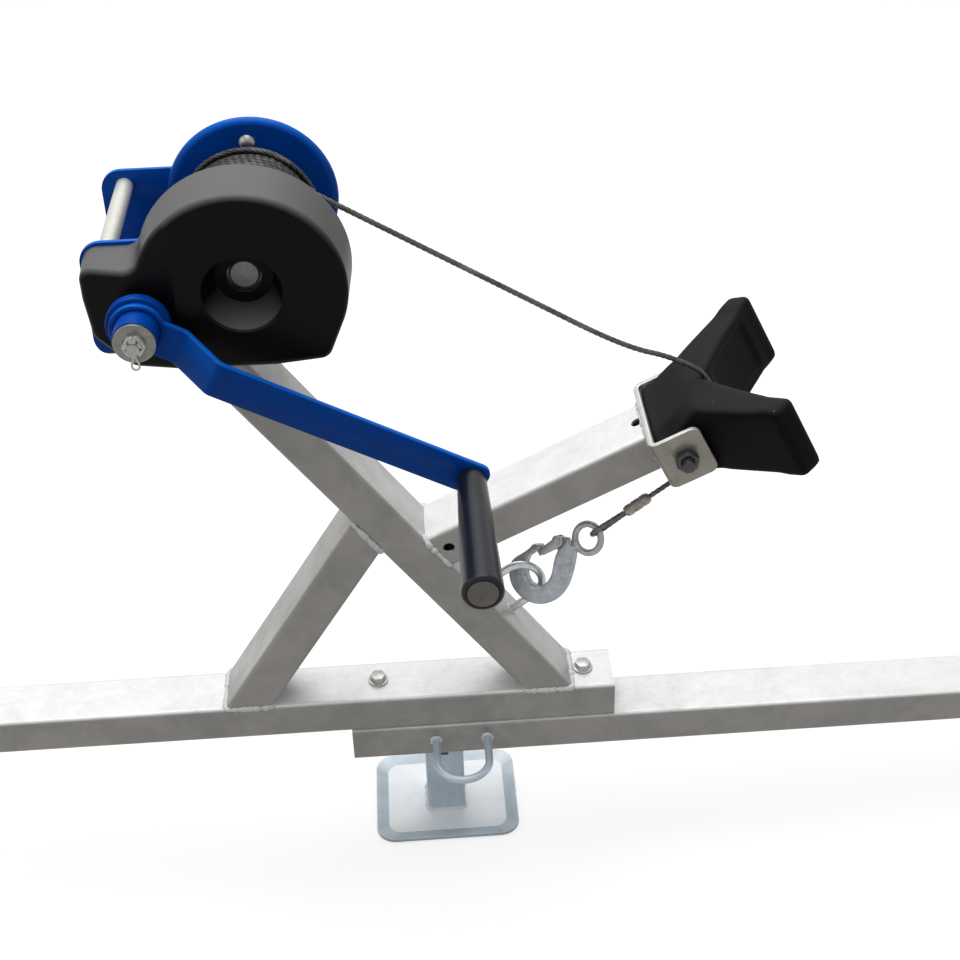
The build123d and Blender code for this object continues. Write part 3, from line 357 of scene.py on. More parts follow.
ARM_ANGLE = math.radians(26.33)
WEB_BACK = Vector((0.20756, 0, 0.45506))        # where the arm's end meets the bracket's web
VENT_RADIUS = 0.0055
VENT_BY_POST = Vector((0.0147, -0.030, 0.3610))
VENT_FROM_WEB = 0.0055
VENT_ABOVE_AXIS = 0.020
DRILL_SIDES, DRILL_DEPTH = 32, 0.012
TUBE_EDGE = 0.0003
SHARP_EDGE = math.radians(30)


def way(angle):
    """The direction at an angle above +X, in the stand's middle plane."""
    return Vector((math.cos(angle), 0, math.sin(angle)))


arm_way, arm_up = way(ARM_ANGLE), way(ARM_ANGLE + math.pi / 2)
bow_arm = softened("bow_arm_tube", TUBE_EDGE, segments=1)
vent_by_web = WEB_BACK - arm_way * VENT_FROM_WEB + arm_up * VENT_ABOVE_AXIS
for place, tilt in ((VENT_BY_POST, (math.pi / 2, 0, 0)), (vent_by_web, (0, -ARM_ANGLE, 0))):
    bpy.ops.mesh.primitive_cylinder_add(vertices=DRILL_SIDES, radius=VENT_RADIUS,
                                        depth=DRILL_DEPTH, location=place, rotation=tilt)
    drill = bpy.context.object
    drilled = bow_arm.modifiers.new("vent", "BOOLEAN")
    drilled.operation = "DIFFERENCE"
    drilled.solver = "EXACT"
    drilled.object = drill
    settle(bow_arm)
    bpy.data.objects.remove(drill)
bow_arm.data.set_sharp_from_angle(angle=SHARP_EDGE)
even_shading(bow_arm)

# ---------------------------------------------------------------- foot and tie-down loop
# A square leg on a pressed plate carries the drawbar when the trailer is parked, and a bent bar
# beside it takes a strap. The leg and loop are touched up with zinc spray, which is bluer.

PAD_EDGE_ANGLE = 6.0        # degrees, shallow enough to find the pad's pressed rim

zinc_spray = finish_with(
    "zinc_spray", zinc_group,
    {"Bright": (0.58, 0.68, 0.77, 1), "Dull": (0.40, 0.47, 0.54, 1), "Crystal scale": 400.0,
     "Crystal contrast": 0.15, "Patch scale": 40.0, "Stain": 0.06}, metallic=0.25, bump=0.10)
# The pad's pressed rim, whose slopes face up a little less, is painted darker and bluer: painted
# shade.
galvanised_pad = finish_with(
    "galvanised_pad", zinc_group,
    {"Bright": (0.95, 0.97, 0.98, 1), "Dull": (0.76, 0.82, 0.87, 1), "Crystal scale": 120.0,
     "Crystal contrast": 0.10, "Patch scale": 24.0, "Stain": 0.04, "Painted shade": 0.90,
     "Painted shade colour": (0.46, 0.55, 0.62, 1), "Painted shade from": 0.975, "Painted shade to": 0.995},
    metallic=0.06, bump=0.12)
wear(zinc_spray, "foot_leg", "tie_down_loop")
wear(galvanised_pad, "foot_plate")
softened("foot_plate", PLATE_EDGE, angle=PAD_EDGE_ANGLE)

# ---------------------------------------------------------------- bolts, nuts and catch eye
# Zinc-plated hexagon bolts clamp the two drawbar tubes and the winch, and have gone dull. The
# eye that the hook catches is a bent bar of drawn steel, welded to the post.

BOLT_EDGE = 0.0006

bright_zinc = finish_with(
    "bright_zinc", zinc_group,
    {"Bright": (0.50, 0.51, 0.49, 1), "Dull": (0.30, 0.31, 0.29, 1), "Crystal scale": 500.0,
     "Crystal contrast": 0.25, "Patch scale": 90.0, "Stain": 0.35}, metallic=0.55, bump=0.08)
drawn_zinc = finish_with(
    "drawn_zinc", zinc_group,
    {"Bright": (0.66, 0.69, 0.71, 1), "Dull": (0.38, 0.39, 0.39, 1), "Crystal scale": 500.0,
     "Crystal contrast": 0.20, "Patch scale": 60.0, "Stain": 0.20}, metallic=0.80, bump=0.06)
wear(bright_zinc, "drawbar_bolts", "drawbar_nuts", "winch_bolts", "winch_nuts")
wear(drawn_zinc, "catch_eye")
softened("drawbar_bolts", BOLT_EDGE)
softened("winch_bolts", BOLT_EDGE)

# ---------------------------------------------------------------- weld beads
# Beads laid by hand join the tubes, plates, eye and loop: overlapping ripples along each seam,
# galvanised over with the rest. Some stop short at a gap that lets the zinc drain.

TUBE_DEEP, TUBE_TALL, TUBE_CORNER = 0.060, 0.040, 0.005
POST_ANGLE, BRACE_ANGLE = math.radians(125.65), math.radians(57.19)
POST_FOOT_X, BRACE_FOOT_X = 0.1091, -0.1927
VENT_GAP = 0.0065           # half the opening left in a seam
STAND_BEAD, PLATE_BEAD, EYE_BEAD = 0.0062, 0.0058, 0.0042
RIPPLE_SHARE = 0.4          # of the bead's width, from ripple to ripple
RIPPLE_SIZES = (0.60, 1.25)
RIPPLE_SIDES, RIPPLE_RINGS = 8, 5
CORNER_STEPS = (0, 30, 60, 90)          # degrees round a seam's corner
CLOSES_WITHIN = 3           # bead widths between a seam's ends
BEAD_VOXEL, BEAD_PASSES = 0.0008, 3
LOOP_BAR = 0.008
BAR_SEAM = 0.62 * LOOP_BAR
EYE_UP_POST = 0.110
EYE_HALF = 0.021
TIE_X, TIE_HALF = 0.0187, 0.02625
X, Y, Z = Vector((1, 0, 0)), Vector((0, 1, 0)), Vector((0, 0, 1))


def geometry_tree(name, inputs):
    """A Geometry Nodes tree with (name, socket type, value) inputs, and its two ends."""
    tree = bpy.data.node_groups.new(name, "GeometryNodeTree")
    for label, kind, value in [("Geometry", "NodeSocketGeometry", None), *inputs]:
        socket = tree.interface.new_socket(label, in_out="INPUT", socket_type=kind)
        if value is not None:
            socket.default_value = value
    tree.interface.new_socket("Geometry", in_out="OUTPUT", socket_type="NodeSocketGeometry")
    return (tree, add_node(tree, "NodeGroupInput").outputs,
            add_node(tree, "NodeGroupOutput").inputs)


def walked_line(tree, line, step):
    """A line as points a step apart."""
    return add_node(tree, "GeometryNodeResampleCurve", mode="LENGTH", Curve=line,
                    Length=step).outputs[0]


def dress(tree, geometry, material, end):
    """Ends a tree with one real, smooth mesh in its material."""
    smooth = add_node(tree, "GeometryNodeSetShadeSmooth", Geometry=geometry)
    real = add_node(tree, "GeometryNodeRealizeInstances", smooth.outputs[0])
    dressed = add_node(tree, "GeometryNodeSetMaterial", Geometry=real.outputs[0],
                       Material=material)
    feed(tree, dressed.outputs[0], end)


def grown(name, source, tree, values):
    """The mesh that a Geometry Nodes tree makes from a source object, which is then removed."""
    maker = source.modifiers.new("maker", "NODES")
    maker.node_group = tree
    named = {s.name: s.identifier for s in tree.interface.items_tree if s.in_out == "INPUT"}
    for label, value in values.items():
        maker[named[label]] = value
    mesh = mesh_of(source)
    source.modifiers.remove(maker)
    bpy.data.objects.remove(source)
    mesh.name = name
    return add_object(name, mesh)


def lines_object(name, lines, kind="NURBS"):
    """A curve object with a spline for each list of points, which pull it or lie on it."""
    curve = bpy.data.curves.new(name, "CURVE")
    curve.dimensions = "3D"
    for places in lines:
        spline = curve.splines.new(kind)
        spline.points.add(len(places) - 1)
        for point, place in zip(spline.points, places):
            point.co = (*place, 1)
        if kind == "NURBS":
            spline.order_u = 3
            spline.use_endpoint_u = True
    return add_object(name, curve)


def rounded_over(made, voxel, passes):
    """Remeshes and smooths an object, as a moulding, casting or weld is."""
    remesh = made.modifiers.new("remesh", "REMESH")
    remesh.mode = "VOXEL"
    remesh.voxel_size = voxel
    smooth = made.modifiers.new("smooth", "SMOOTH")
    smooth.factor = 0.5
    smooth.iterations = passes
    settle(made)


bead_tree, given, result = geometry_tree(
    "weld_bead", [("Width", FLOAT, 0.006), ("Ripple", FLOAT, 0.0022), ("Seed", "NodeSocketInt", 0),
                  ("Material", "NodeSocketMaterial", None)])
tree = bead_tree
walked = walked_line(tree, given["Geometry"], given["Ripple"])
ripple = add_node(tree, "GeometryNodeMeshUVSphere", Segments=RIPPLE_SIDES, Rings=RIPPLE_RINGS,
                  Radius=maths(tree, "MULTIPLY", given["Width"], 0.5))
tangent = add_node(tree, "GeometryNodeInputTangent").outputs[0]
facing = add_node(tree, "FunctionNodeAlignRotationToVector", axis="Z", Vector=tangent)
size = add_node(tree, "FunctionNodeRandomValue", data_type="FLOAT", Seed=given["Seed"])
for socket, value in zip(size.inputs[2:4], RIPPLE_SIZES):
    socket.default_value = value
placed = add_node(tree, "GeometryNodeInstanceOnPoints", Points=walked,
                  Instance=ripple.outputs["Mesh"], Rotation=facing.outputs[0],
                  Scale=next(s for s in size.outputs if s.type == "VALUE"))
dress(tree, placed.outputs[0], given["Material"], result["Geometry"])

weld_zinc = finish_with(
    "weld_zinc", zinc_group,
    {"Bright": (0.84, 0.86, 0.87, 1), "Dull": (0.50, 0.50, 0.48, 1), "Crystal scale": 300.0,
     "Crystal contrast": 0.35, "Patch scale": 120.0, "Stain": 0.2}, metallic=0.35, bump=0.3)


def seam_round(centre, along, across, long_half, wide_half=TUBE_DEEP / 2, gap=0.0):
    """Seam round a rounded rectangle whose sides run along two directions.

    With a gap it is open in the middle of the side that along points to.
    """
    long_flat, wide_flat = long_half - TUBE_CORNER, wide_half - TUBE_CORNER
    points = []
    for x, y, start in ((1, 1, 0), (-1, 1, 90), (-1, -1, 180), (1, -1, 270)):
        for step in CORNER_STEPS:
            angle = math.radians(start + step)
            points.append(centre + along * (x * long_flat + TUBE_CORNER * math.cos(angle))
                          + across * (y * wide_flat + TUBE_CORNER * math.sin(angle)))
    if gap:
        middle = centre + along * long_half
        points = [middle + across * gap] + points + [middle - across * gap]
    return points


def ring_seam(centre, first, second, radius, sides=12):
    turns = [math.tau * i / sides for i in range(sides)]
    return [centre + first * radius * math.cos(a) + second * radius * math.sin(a) for a in turns]


def weld(name, seams, width, seed):
    """One piece made of seams; a seam whose ends lie apart stays open."""
    source = lines_object(name + "_line", seams, "POLY")
    for spline, seam in zip(source.data.splines, seams):
        spline.use_cyclic_u = (seam[0] - seam[-1]).length < CLOSES_WITHIN * width
    made = grown(name, source, bead_tree, {"Width": width, "Ripple": width * RIPPLE_SHARE,
                                           "Seed": seed, "Material": weld_zinc})
    rounded_over(made, BEAD_VOXEL, BEAD_PASSES)
    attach(made, "stand")


def where_meets(point, direction, plane_point, normal):
    """Where a line through point meets a plane."""
    return point + direction * ((plane_point - point).dot(normal) / direction.dot(normal))


def cut_half(tube, plane_along):
    """Half the width of a tube's slanted end, measured along the plane that cuts it."""
    return TUBE_TALL / 2 / abs(tube.cross(plane_along).length)


drawbar_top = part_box("front_drawbar_tube")[1].z
post_foot = Vector((POST_FOOT_X, 0, drawbar_top))
brace_foot = Vector((BRACE_FOOT_X, 0, drawbar_top))
post_up, post_rear, brace_up = way(POST_ANGLE), way(POST_ANGLE - math.pi / 2), way(BRACE_ANGLE)
front_wall = post_foot - post_rear * TUBE_TALL / 2
rear_wall = post_foot + post_rear * TUBE_TALL / 2
brace_top = where_meets(brace_foot, brace_up, front_wall, post_rear)
arm_root = where_meets(WEB_BACK, arm_way, rear_wall, post_rear)
weld("stand_welds", [
    seam_round(post_foot, X, Y, cut_half(post_up, X), gap=VENT_GAP),
    seam_round(brace_foot, -X, Y, cut_half(brace_up, X), gap=VENT_GAP),
    seam_round(brace_top, post_up, Y, cut_half(brace_up, post_up)),
    seam_round(arm_root, post_up, Y, cut_half(arm_way, post_up)),
    seam_round(WEB_BACK, arm_up, Y, TUBE_TALL / 2, gap=VENT_GAP)], STAND_BEAD, seed=3)

bed_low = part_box("winch_bed")[0].z
post_top = where_meets(post_foot, post_up, Vector((0, 0, bed_low)), Z)
leg_low, leg_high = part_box("foot_leg")
leg_half = (leg_high.x - leg_low.x) / 2
weld("plate_welds", [
    seam_round(post_top, X, Y, cut_half(post_up, X)),
    seam_round(Vector((0, 0, leg_high.z)), X, Y, leg_half, leg_half),
    seam_round(Vector((0, 0, leg_low.z)), X, Y, leg_half, leg_half)], PLATE_BEAD, seed=5)

tie_z = sum(corner.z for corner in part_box("tie_down_loop")) / 2
eye_middle = rear_wall + post_up * EYE_UP_POST
tie_middle = Vector((TIE_X, -TUBE_DEEP / 2, tie_z))
weld("eye_welds",
     [ring_seam(eye_middle + post_up * side * EYE_HALF, post_up, Y, BAR_SEAM) for side in (1, -1)]
     + [ring_seam(tie_middle + X * side * TIE_HALF, X, Z, BAR_SEAM) for side in (1, -1)],
     EYE_BEAD, seed=8)

# ---------------------------------------------------------------- winch frame and drum
# The frame and drum are steel pressings in blue enamel, cloudy in tone and painted lighter blue
# where they face up, as painted light. A plated rod ties the frame's sides, and the drum turns on
# a plain steel axle with its gear.

CLOUD_SCALE, CLOUD_SPAN = 22.0, (0.35, 0.70)
SPECK_SCALE, SPECK_EDGE = 95.0, (0.05, 0.10)
TOP_LIGHT_SPAN = (0.20, 0.95)     # how far up a face looks, where the painted top light begins and is full

coat_group, given, result = shader_group(
    "worn_coat",
    [("Colour", COLOUR, (0, 0.05, 0.3, 1)), ("Faded", COLOUR, (0, 0.08, 0.4, 1)),
     ("Speck colour", COLOUR, (0.5, 0.5, 0.5, 1)), ("Specks", FLOAT, 0.0),
     ("Smooth", FLOAT, 0.25), ("Rough", FLOAT, 0.45), ("Grain scale", FLOAT, 900.0),
     ("Painted top light", FLOAT, 0.0), ("Painted top light colour", COLOUR, (0.07, 0.068, 0.068, 1))])
tree = coat_group
coordinates = add_node(tree, "ShaderNodeTexCoord").outputs
place = coordinates["Object"]
cloud = noise(tree, place, Scale=CLOUD_SCALE, Detail=5.0, Roughness=0.6)["Fac"]
coat = blended(tree, between(tree, cloud, *CLOUD_SPAN), given["Colour"], given["Faded"])
speck = add_node(tree, "ShaderNodeTexVoronoi", Vector=place, Scale=SPECK_SCALE).outputs
small = between(tree, speck["Distance"], *SPECK_EDGE, 1.0, 0.0)
drawn = add_node(tree, "ShaderNodeSeparateColor", speck["Color"]).outputs[0]
dotted = maths(tree, "MULTIPLY", small, maths(tree, "LESS_THAN", drawn, given["Specks"]))
# What faces up is painted towards a lighter colour: painted light.
upward = add_node(tree, "ShaderNodeSeparateXYZ", coordinates["Normal"]).outputs["Z"]
top_light = maths(tree, "MULTIPLY", between(tree, upward, *TOP_LIGHT_SPAN), given["Painted top light"])
top_lit = blended(tree, top_light, coat, given["Painted top light colour"])
feed(tree, blended(tree, dotted, top_lit, given["Speck colour"]), result["Color"])
feed(tree, between(tree, cloud, 0.0, 1.0, given["Smooth"], given["Rough"]), result["Roughness"])
feed(tree, noise(tree, place, Scale=given["Grain scale"], Detail=2.0)["Fac"], result["Height"])

# The enamel is painted lighter blue where it faces up: painted light.
blue_enamel = finish_with(
    "blue_enamel", coat_group,
    {"Colour": (0.0, 0.050, 0.30, 1), "Faded": (0.0, 0.065, 0.36, 1), "Smooth": 0.30,
     "Rough": 0.44, "Grain scale": 160.0, "Painted top light": 1.0, "Painted top light colour": (0.001, 0.125, 0.60, 1)},
    metallic=0.0, bump=0.06, Coat_Weight=0.03, Coat_Roughness=0.15, Specular_IOR_Level=0.07)
rod_zinc = finish_with(
    "rod_zinc", zinc_group,
    {"Bright": (0.64, 0.65, 0.59, 1), "Dull": (0.46, 0.46, 0.41, 1), "Crystal scale": 300.0,
     "Crystal contrast": 0.25, "Patch scale": 50.0, "Stain": 0.25}, metallic=0.30, bump=0.06)
worn_steel = finish_with(
    "worn_steel", zinc_group,
    {"Bright": (0.25, 0.245, 0.225, 1), "Dull": (0.15, 0.145, 0.13, 1), "Crystal scale": 500.0,
     "Crystal contrast": 0.30, "Patch scale": 90.0, "Stain": 0.35}, metallic=0.60, bump=0.10)
turned_steel = finish_with(
    "turned_steel", zinc_group,
    {"Bright": (0.36, 0.35, 0.33, 1), "Dull": (0.20, 0.19, 0.18, 1), "Crystal scale": 700.0,
     "Crystal contrast": 0.30, "Patch scale": 90.0, "Stain": 0.35}, metallic=0.85, bump=0.10)
wear(blue_enamel, "winch_frame", "drum")
wear(rod_zinc, "frame_tie_rod")
wear(worn_steel, "drum_axle")
wear(turned_steel, "drum_gear", "pinion_shaft", "rope_clamp_bolt")
softened("winch_frame", PLATE_EDGE)

# ---------------------------------------------------------------- gear cover
# A moulded cover in black plastic, painted grey on top as a painted reflection of the sky. It goes
# over the gears, and a round recess in it shows the end of the drum's axle.

# The cover is painted grey where it faces up: painted reflection.
cover_plastic = finish_with(
    "cover_plastic", coat_group,
    {"Colour": (0.003, 0.0027, 0.0027, 1), "Faded": (0.005, 0.0046, 0.0046, 1), "Smooth": 0.30,
     "Rough": 0.42, "Grain scale": 1100.0, "Painted top light": 0.95, "Painted top light colour": (0.135, 0.133, 0.135, 1)},
    metallic=0.0, bump=0.06, Specular_IOR_Level=0.07)
wear(cover_plastic, "gear_cover")

# ---------------------------------------------------------------- crank
# A cranked flat bar on a turned hub, both in blue enamel, with a plastic grip that turns on a
# steel spindle. A washer, a castle nut and a split pin hold it on its shaft.

ARM_EDGE, TURNED_EDGE, WASHER_EDGE, NUT_EDGE = 0.0012, 0.0010, 0.0004, 0.0005
SHAFT = Vector((-0.21978, 0, 0.67132))
PIN_WIRE = 0.0017
PIN_BEHIND_FACE = 0.0015    # from the outer face of the nut
PIN_SHAPE = [(-0.0006, 0.0105), (-0.0006, 0.0), (-0.0006, -0.0085), (-0.0030, -0.0125),
             (-0.0028, -0.0170), (0.0, -0.0185), (0.0028, -0.0170), (0.0030, -0.0125),
             (0.0010, -0.0085), (0.0010, 0.0), (0.0030, 0.0105)]    # across and above the shaft

# The hub is painted lighter blue where it faces up: painted light.
hub_enamel = finish_with(
    "hub_enamel", coat_group,
    {"Colour": (0.0, 0.038, 0.26, 1), "Faded": (0.0, 0.046, 0.30, 1), "Smooth": 0.30,
     "Rough": 0.44, "Grain scale": 160.0, "Painted top light": 0.8, "Painted top light colour": (0.0, 0.060, 0.38, 1)},
    metallic=0.0, bump=0.06, Specular_IOR_Level=0.07)
grip_plastic = finish_with(
    "grip_plastic", coat_group,
    {"Colour": (0.005, 0.006, 0.011, 1), "Faded": (0.009, 0.010, 0.017, 1), "Smooth": 0.26,
     "Rough": 0.38, "Grain scale": 700.0}, metallic=0.0, bump=0.05, Specular_IOR_Level=0.25)
cap_steel = finish_with(
    "cap_steel", zinc_group,
    {"Bright": (0.115, 0.10, 0.085, 1), "Dull": (0.065, 0.058, 0.05, 1), "Crystal scale": 500.0,
     "Crystal contrast": 0.30, "Patch scale": 120.0, "Stain": 0.2}, metallic=0.30, bump=0.20)
wear(blue_enamel, "crank_arm")
wear(hub_enamel, "crank_hub")
wear(worn_steel, "hub_washer")
wear(bright_zinc, "castle_nut")
wear(grip_plastic, "grip")
wear(cap_steel, "grip_spindle")
for node, width in (("crank_arm", ARM_EDGE), ("crank_hub", TURNED_EDGE), ("grip", TURNED_EDGE),
                    ("hub_washer", WASHER_EDGE), ("castle_nut", NUT_EDGE)):
    softened(node, width)

pin_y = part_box("castle_nut")[0].y + PIN_BEHIND_FACE
pin_line = lines_object("split_pin_line", [[(SHAFT.x + x, pin_y, SHAFT.z + z)
                                            for x, z in PIN_SHAPE]])
pin_line.data.bevel_depth = PIN_WIRE / 2
pin_line.data.bevel_resolution = 3
pin_line.data.use_fill_caps = True
pin_mesh = mesh_of(pin_line)
bpy.data.objects.remove(pin_line)
pin_mesh.materials.clear()
pin_mesh.materials.append(bright_zinc)
split_pin = add_object("split_pin", pin_mesh)
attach(split_pin, "crank")

# ---------------------------------------------------------------- bow stop and bracket
# A solid V of moulded rubber, with specks of dust in its grain, takes the bow between its
# wings. Its stem sits in a folded, galvanised bracket, and one dark bolt goes through both.

BRACKET_EDGE, DARK_BOLT_EDGE, CAST_EDGE = 0.0010, 0.0008, 0.0004
STOP_VOXEL, STOP_PASSES = 0.0016, 30
STOP_HALF = 0.037           # half the stop's height
STEM_HALF = 0.0225          # and where it enters the bracket
STEM_GROWS = (0.008, 0.056)             # along the arm, from the bracket's web
CHEEK_IN = 0.16                         # how much the near cheek is pressed in under the rim
CHEEK_SIDE, CHEEK_ALONG = (0.025, 0.047), (0.018, 0.058)
WING_ALONG, WING_ASIDE = 0.5, 0.87      # a wing's direction
LIP = 0.05                  # how much taller the wings' ends are
LIP_GROWS, WING_BENDS = (0.116, 0.130), (0.070, 0.140)      # along a wing
WING_OUTWARDS = 0.0065      # how far the wings' ends stand out along the arm
NEAR_ASIDE, FAR_ASIDE = -0.0045, 0.0006     # and to the side


def eased(value, low, high):
    """0 up to low, 1 from high on, and a smooth rise between them."""
    share = min(1.0, max(0.0, (value - low) / (high - low)))
    return share * share * (3 - 2 * share)


# The rubber is painted lighter where it faces up: painted light.
stop_rubber = finish_with(
    "stop_rubber", coat_group,
    {"Colour": (0.0022, 0.0020, 0.0025, 1), "Faded": (0.0045, 0.0042, 0.0048, 1),
     "Speck colour": (0.16, 0.16, 0.17, 1), "Specks": 0.07, "Smooth": 0.50, "Rough": 0.66,
     "Grain scale": 900.0, "Painted top light": 0.9, "Painted top light colour": (0.024, 0.023, 0.024, 1)},
    metallic=0.0, bump=0.12, Specular_IOR_Level=0.05)
# The bracket's sides are painted darker and warmer than its top: painted shade.
dull_zinc = finish_with(
    "dull_zinc", zinc_group,
    {"Bright": (0.74, 0.74, 0.72, 1), "Dull": (0.50, 0.49, 0.46, 1), "Crystal scale": 260.0,
     "Crystal contrast": 0.25, "Patch scale": 40.0, "Stain": 0.15, "Painted shade": 0.92,
     "Painted shade colour": (0.30, 0.275, 0.235, 1)}, metallic=0.30, bump=0.12)
dark_steel = finish_with(
    "dark_steel", zinc_group,
    {"Bright": (0.07, 0.07, 0.075, 1), "Dull": (0.03, 0.03, 0.032, 1), "Crystal scale": 700.0,
     "Crystal contrast": 0.30, "Patch scale": 90.0, "Stain": 0.0}, metallic=0.7, bump=0.10)
wear(stop_rubber, "bow_stop")
wear(dull_zinc, "stop_bracket")
wear(dark_steel, "bracket_bolt", "bracket_nut")
softened("stop_bracket", BRACKET_EDGE)
softened("bracket_bolt", DARK_BOLT_EDGE)
softened("bracket_nut", DARK_BOLT_EDGE)

bow_stop = softened("bow_stop", CAST_EDGE, segments=1)
rounded_over(bow_stop, STOP_VOXEL, STOP_PASSES)
for vertex in bow_stop.data.vertices:
    place = vertex.co - WEB_BACK
    along, high, side = place.dot(arm_way), place.dot(arm_up), place.y
    reach = WING_ALONG * along + WING_ASIDE * abs(side)
    tall = 1 - (1 - STEM_HALF / STOP_HALF) * (1 - eased(along, *STEM_GROWS))
    tall -= CHEEK_IN * eased(-side, *CHEEK_SIDE) * (1 - eased(along, *CHEEK_ALONG))
    tall += LIP * eased(reach, *LIP_GROWS)
    bent = eased(reach, *WING_BENDS)
    aside = NEAR_ASIDE if side < 0 else FAR_ASIDE
    vertex.co = (WEB_BACK + arm_way * (along + WING_OUTWARDS * bent) + arm_up * high * tall
                 + Y * (side + aside * bent))

# ---------------------------------------------------------------- hook and latch
# A drop-forged hook whose zinc has gone grey, with a sprung latch of folded sheet on a rivet.
# The latch is made longer, out from its rivet, so that it lies behind the hook's nose.

HOOK_VOXEL, HOOK_PASSES = 0.0009, 14
LATCH_EDGE = 0.0003
LATCH_LONGER = 0.16

cast_zinc = finish_with(
    "cast_zinc", zinc_group,
    {"Bright": (0.47, 0.50, 0.53, 1), "Dull": (0.20, 0.215, 0.23, 1), "Crystal scale": 520.0,
     "Crystal contrast": 0.30, "Patch scale": 120.0, "Stain": 0.45}, metallic=0.50, bump=0.60)
wear(cast_zinc, "hook")
wear(bright_zinc, "hook_latch", "latch_rivet")
rounded_over(softened("hook", CAST_EDGE, segments=1), HOOK_VOXEL, HOOK_PASSES)

latch = softened("hook_latch", LATCH_EDGE)
rivet = sum(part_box("latch_rivet"), Vector()) / 2
outwards = sum((v.co - rivet for v in latch.data.vertices), Vector()).normalized()
for vertex in latch.data.vertices:
    vertex.co += outwards * LATCH_LONGER * max(0.0, (vertex.co - rivet).dot(outwards))

# ---------------------------------------------------------------- wire rope
# Six round strands laid round a core, 5 mm over all, dark with oil and dirt. It runs tight from
# the drum over the bow stop's V and down to the hook, where it goes round the hook's ring and
# back into a pressed sleeve.

ROPE = 0.005
ROPE_LAY = 0.034            # length in which a strand goes once round
STRANDS = 6
POINTS_A_STRAND = 4
STRAND_DEPTH = 0.11         # how far the grooves between strands go in, about the middle
FINE_STEP, WOUND_STEP = 0.0015, 0.003
CURVE_STEPS = 16            # of a rope's middle line, from one point to the next
ROPE_ROUTE = [
    (-0.1089, -0.0108, 0.73635), (0.104, -0.0038, 0.6012), (0.157, -0.0022, 0.5673),
    (0.192, -0.0012, 0.5490), (0.215, -0.0005, 0.5418), (0.235, 0.0, 0.5320),
    (0.2501, 0.0, 0.52354), (0.25922, 0.0, 0.51075), (0.27262, 0.0, 0.48503),
    (0.2845, 0.0, 0.45967), (0.28914, 0.0, 0.4469), (0.20712, -0.00854, 0.3916)]
LOOP_CENTRE = Vector((0.15838, -0.01362, 0.35874))
LOOP_ALONG = Vector((0.8261, 0.0860, 0.5570))
LOOP_ACROSS = Vector((-0.3405, -0.7113, 0.6149))
LEG_END = 0.0305
LEG_APART = 0.0026
LOOP_TURNS = [(LEG_END, LEG_APART), (0.012, 0.0051), (0.0008, 0.0078), (-0.0072, 0.0050),
              (-0.0072, -0.0050), (0.0008, -0.0078), (0.012, -0.0051), (LEG_END, -LEG_APART)]
SLEEVE_VOXEL, SLEEVE_PASSES = 0.0006, 6
SLEEVE_LONG = 0.028
SLEEVE_WIDER = 1.42
CRIMPS, CRIMP_DEPTH, CRIMP_SHARPNESS = 3, 0.10, 6
MOUTH, MOUTH_NARROWS = 0.16, 0.22       # at the loop's end, as shares of length and width
TAIL, TAIL_NARROWS = 0.86, 0.18         # and at the rope's end

laid_tree, given, result = geometry_tree(
    "laid_rope", [("Diameter", FLOAT, ROPE), ("Lay", FLOAT, ROPE_LAY), ("Step", FLOAT, FINE_STEP),
                  ("Material", "NodeSocketMaterial", None)])
tree = laid_tree
walked = walked_line(tree, given["Geometry"], given["Step"])
gone = add_node(tree, "GeometryNodeSplineParameter").outputs["Length"]
lays = maths(tree, "DIVIDE", gone, given["Lay"])
twisted = add_node(tree, "GeometryNodeSetCurveTilt", Curve=walked,
                   Tilt=maths(tree, "MULTIPLY", lays, math.tau))
section = add_node(tree, "GeometryNodeCurvePrimitiveCircle", mode="RADIUS",
                   Resolution=STRANDS * POINTS_A_STRAND,
                   Radius=maths(tree, "MULTIPLY", given["Diameter"], 0.5))
index = add_node(tree, "GeometryNodeInputIndex").outputs[0]
turn = maths(tree, "MULTIPLY", index, math.tau / POINTS_A_STRAND)
lobe = maths(tree, "MULTIPLY_ADD", maths(tree, "COSINE", turn), STRAND_DEPTH, 1 - STRAND_DEPTH)
round_place = add_node(tree, "GeometryNodeInputPosition").outputs[0]
scaled = add_node(tree, "ShaderNodeVectorMath", round_place, operation="SCALE", Scale=lobe)
lobed = add_node(tree, "GeometryNodeSetPosition", Geometry=section.outputs["Curve"],
                 Position=scaled.outputs[0])
swept = add_node(tree, "GeometryNodeCurveToMesh", Curve=twisted.outputs[0],
                 Profile_Curve=lobed.outputs[0], Fill_Caps=True)
dress(tree, swept.outputs[0], given["Material"], result["Geometry"])

rope_wire = finish_with(
    "rope_wire", zinc_group,
    {"Bright": (0.135, 0.128, 0.125, 1), "Dull": (0.022, 0.020, 0.020, 1), "Crystal scale": 900.0,
     "Crystal contrast": 0.60, "Patch scale": 70.0, "Stain": 0.45}, metallic=0.60, bump=0.25)
sleeve_metal = finish_with(
    "sleeve_metal", zinc_group,
    {"Bright": (0.42, 0.38, 0.34, 1), "Dull": (0.17, 0.15, 0.13, 1), "Crystal scale": 420.0,
     "Crystal contrast": 0.55, "Patch scale": 160.0, "Stain": 0.4}, metallic=0.45, bump=0.55)
wear(sleeve_metal, "rope_ferrule")


def rope_along(name, points, step, material):
    """A laid rope pulled by points, and the places along its middle."""
    line = lines_object(name + "_line", [points])
    line.data.resolution_u = CURVE_STEPS
    middle = mesh_of(line)
    route = [v.co.copy() for v in middle.vertices]
    bpy.data.meshes.remove(middle)
    piece = grown(name, line, laid_tree, {"Diameter": ROPE, "Lay": ROPE_LAY, "Step": step,
                                          "Material": material})
    return piece, route


rope_eye, _ = rope_along("rope_eye", [LOOP_CENTRE + LOOP_ALONG * along + LOOP_ACROSS * across
                                      for along, across in LOOP_TURNS], FINE_STEP, rope_wire)
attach(rope_eye, "stand")
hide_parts("rope_loop")

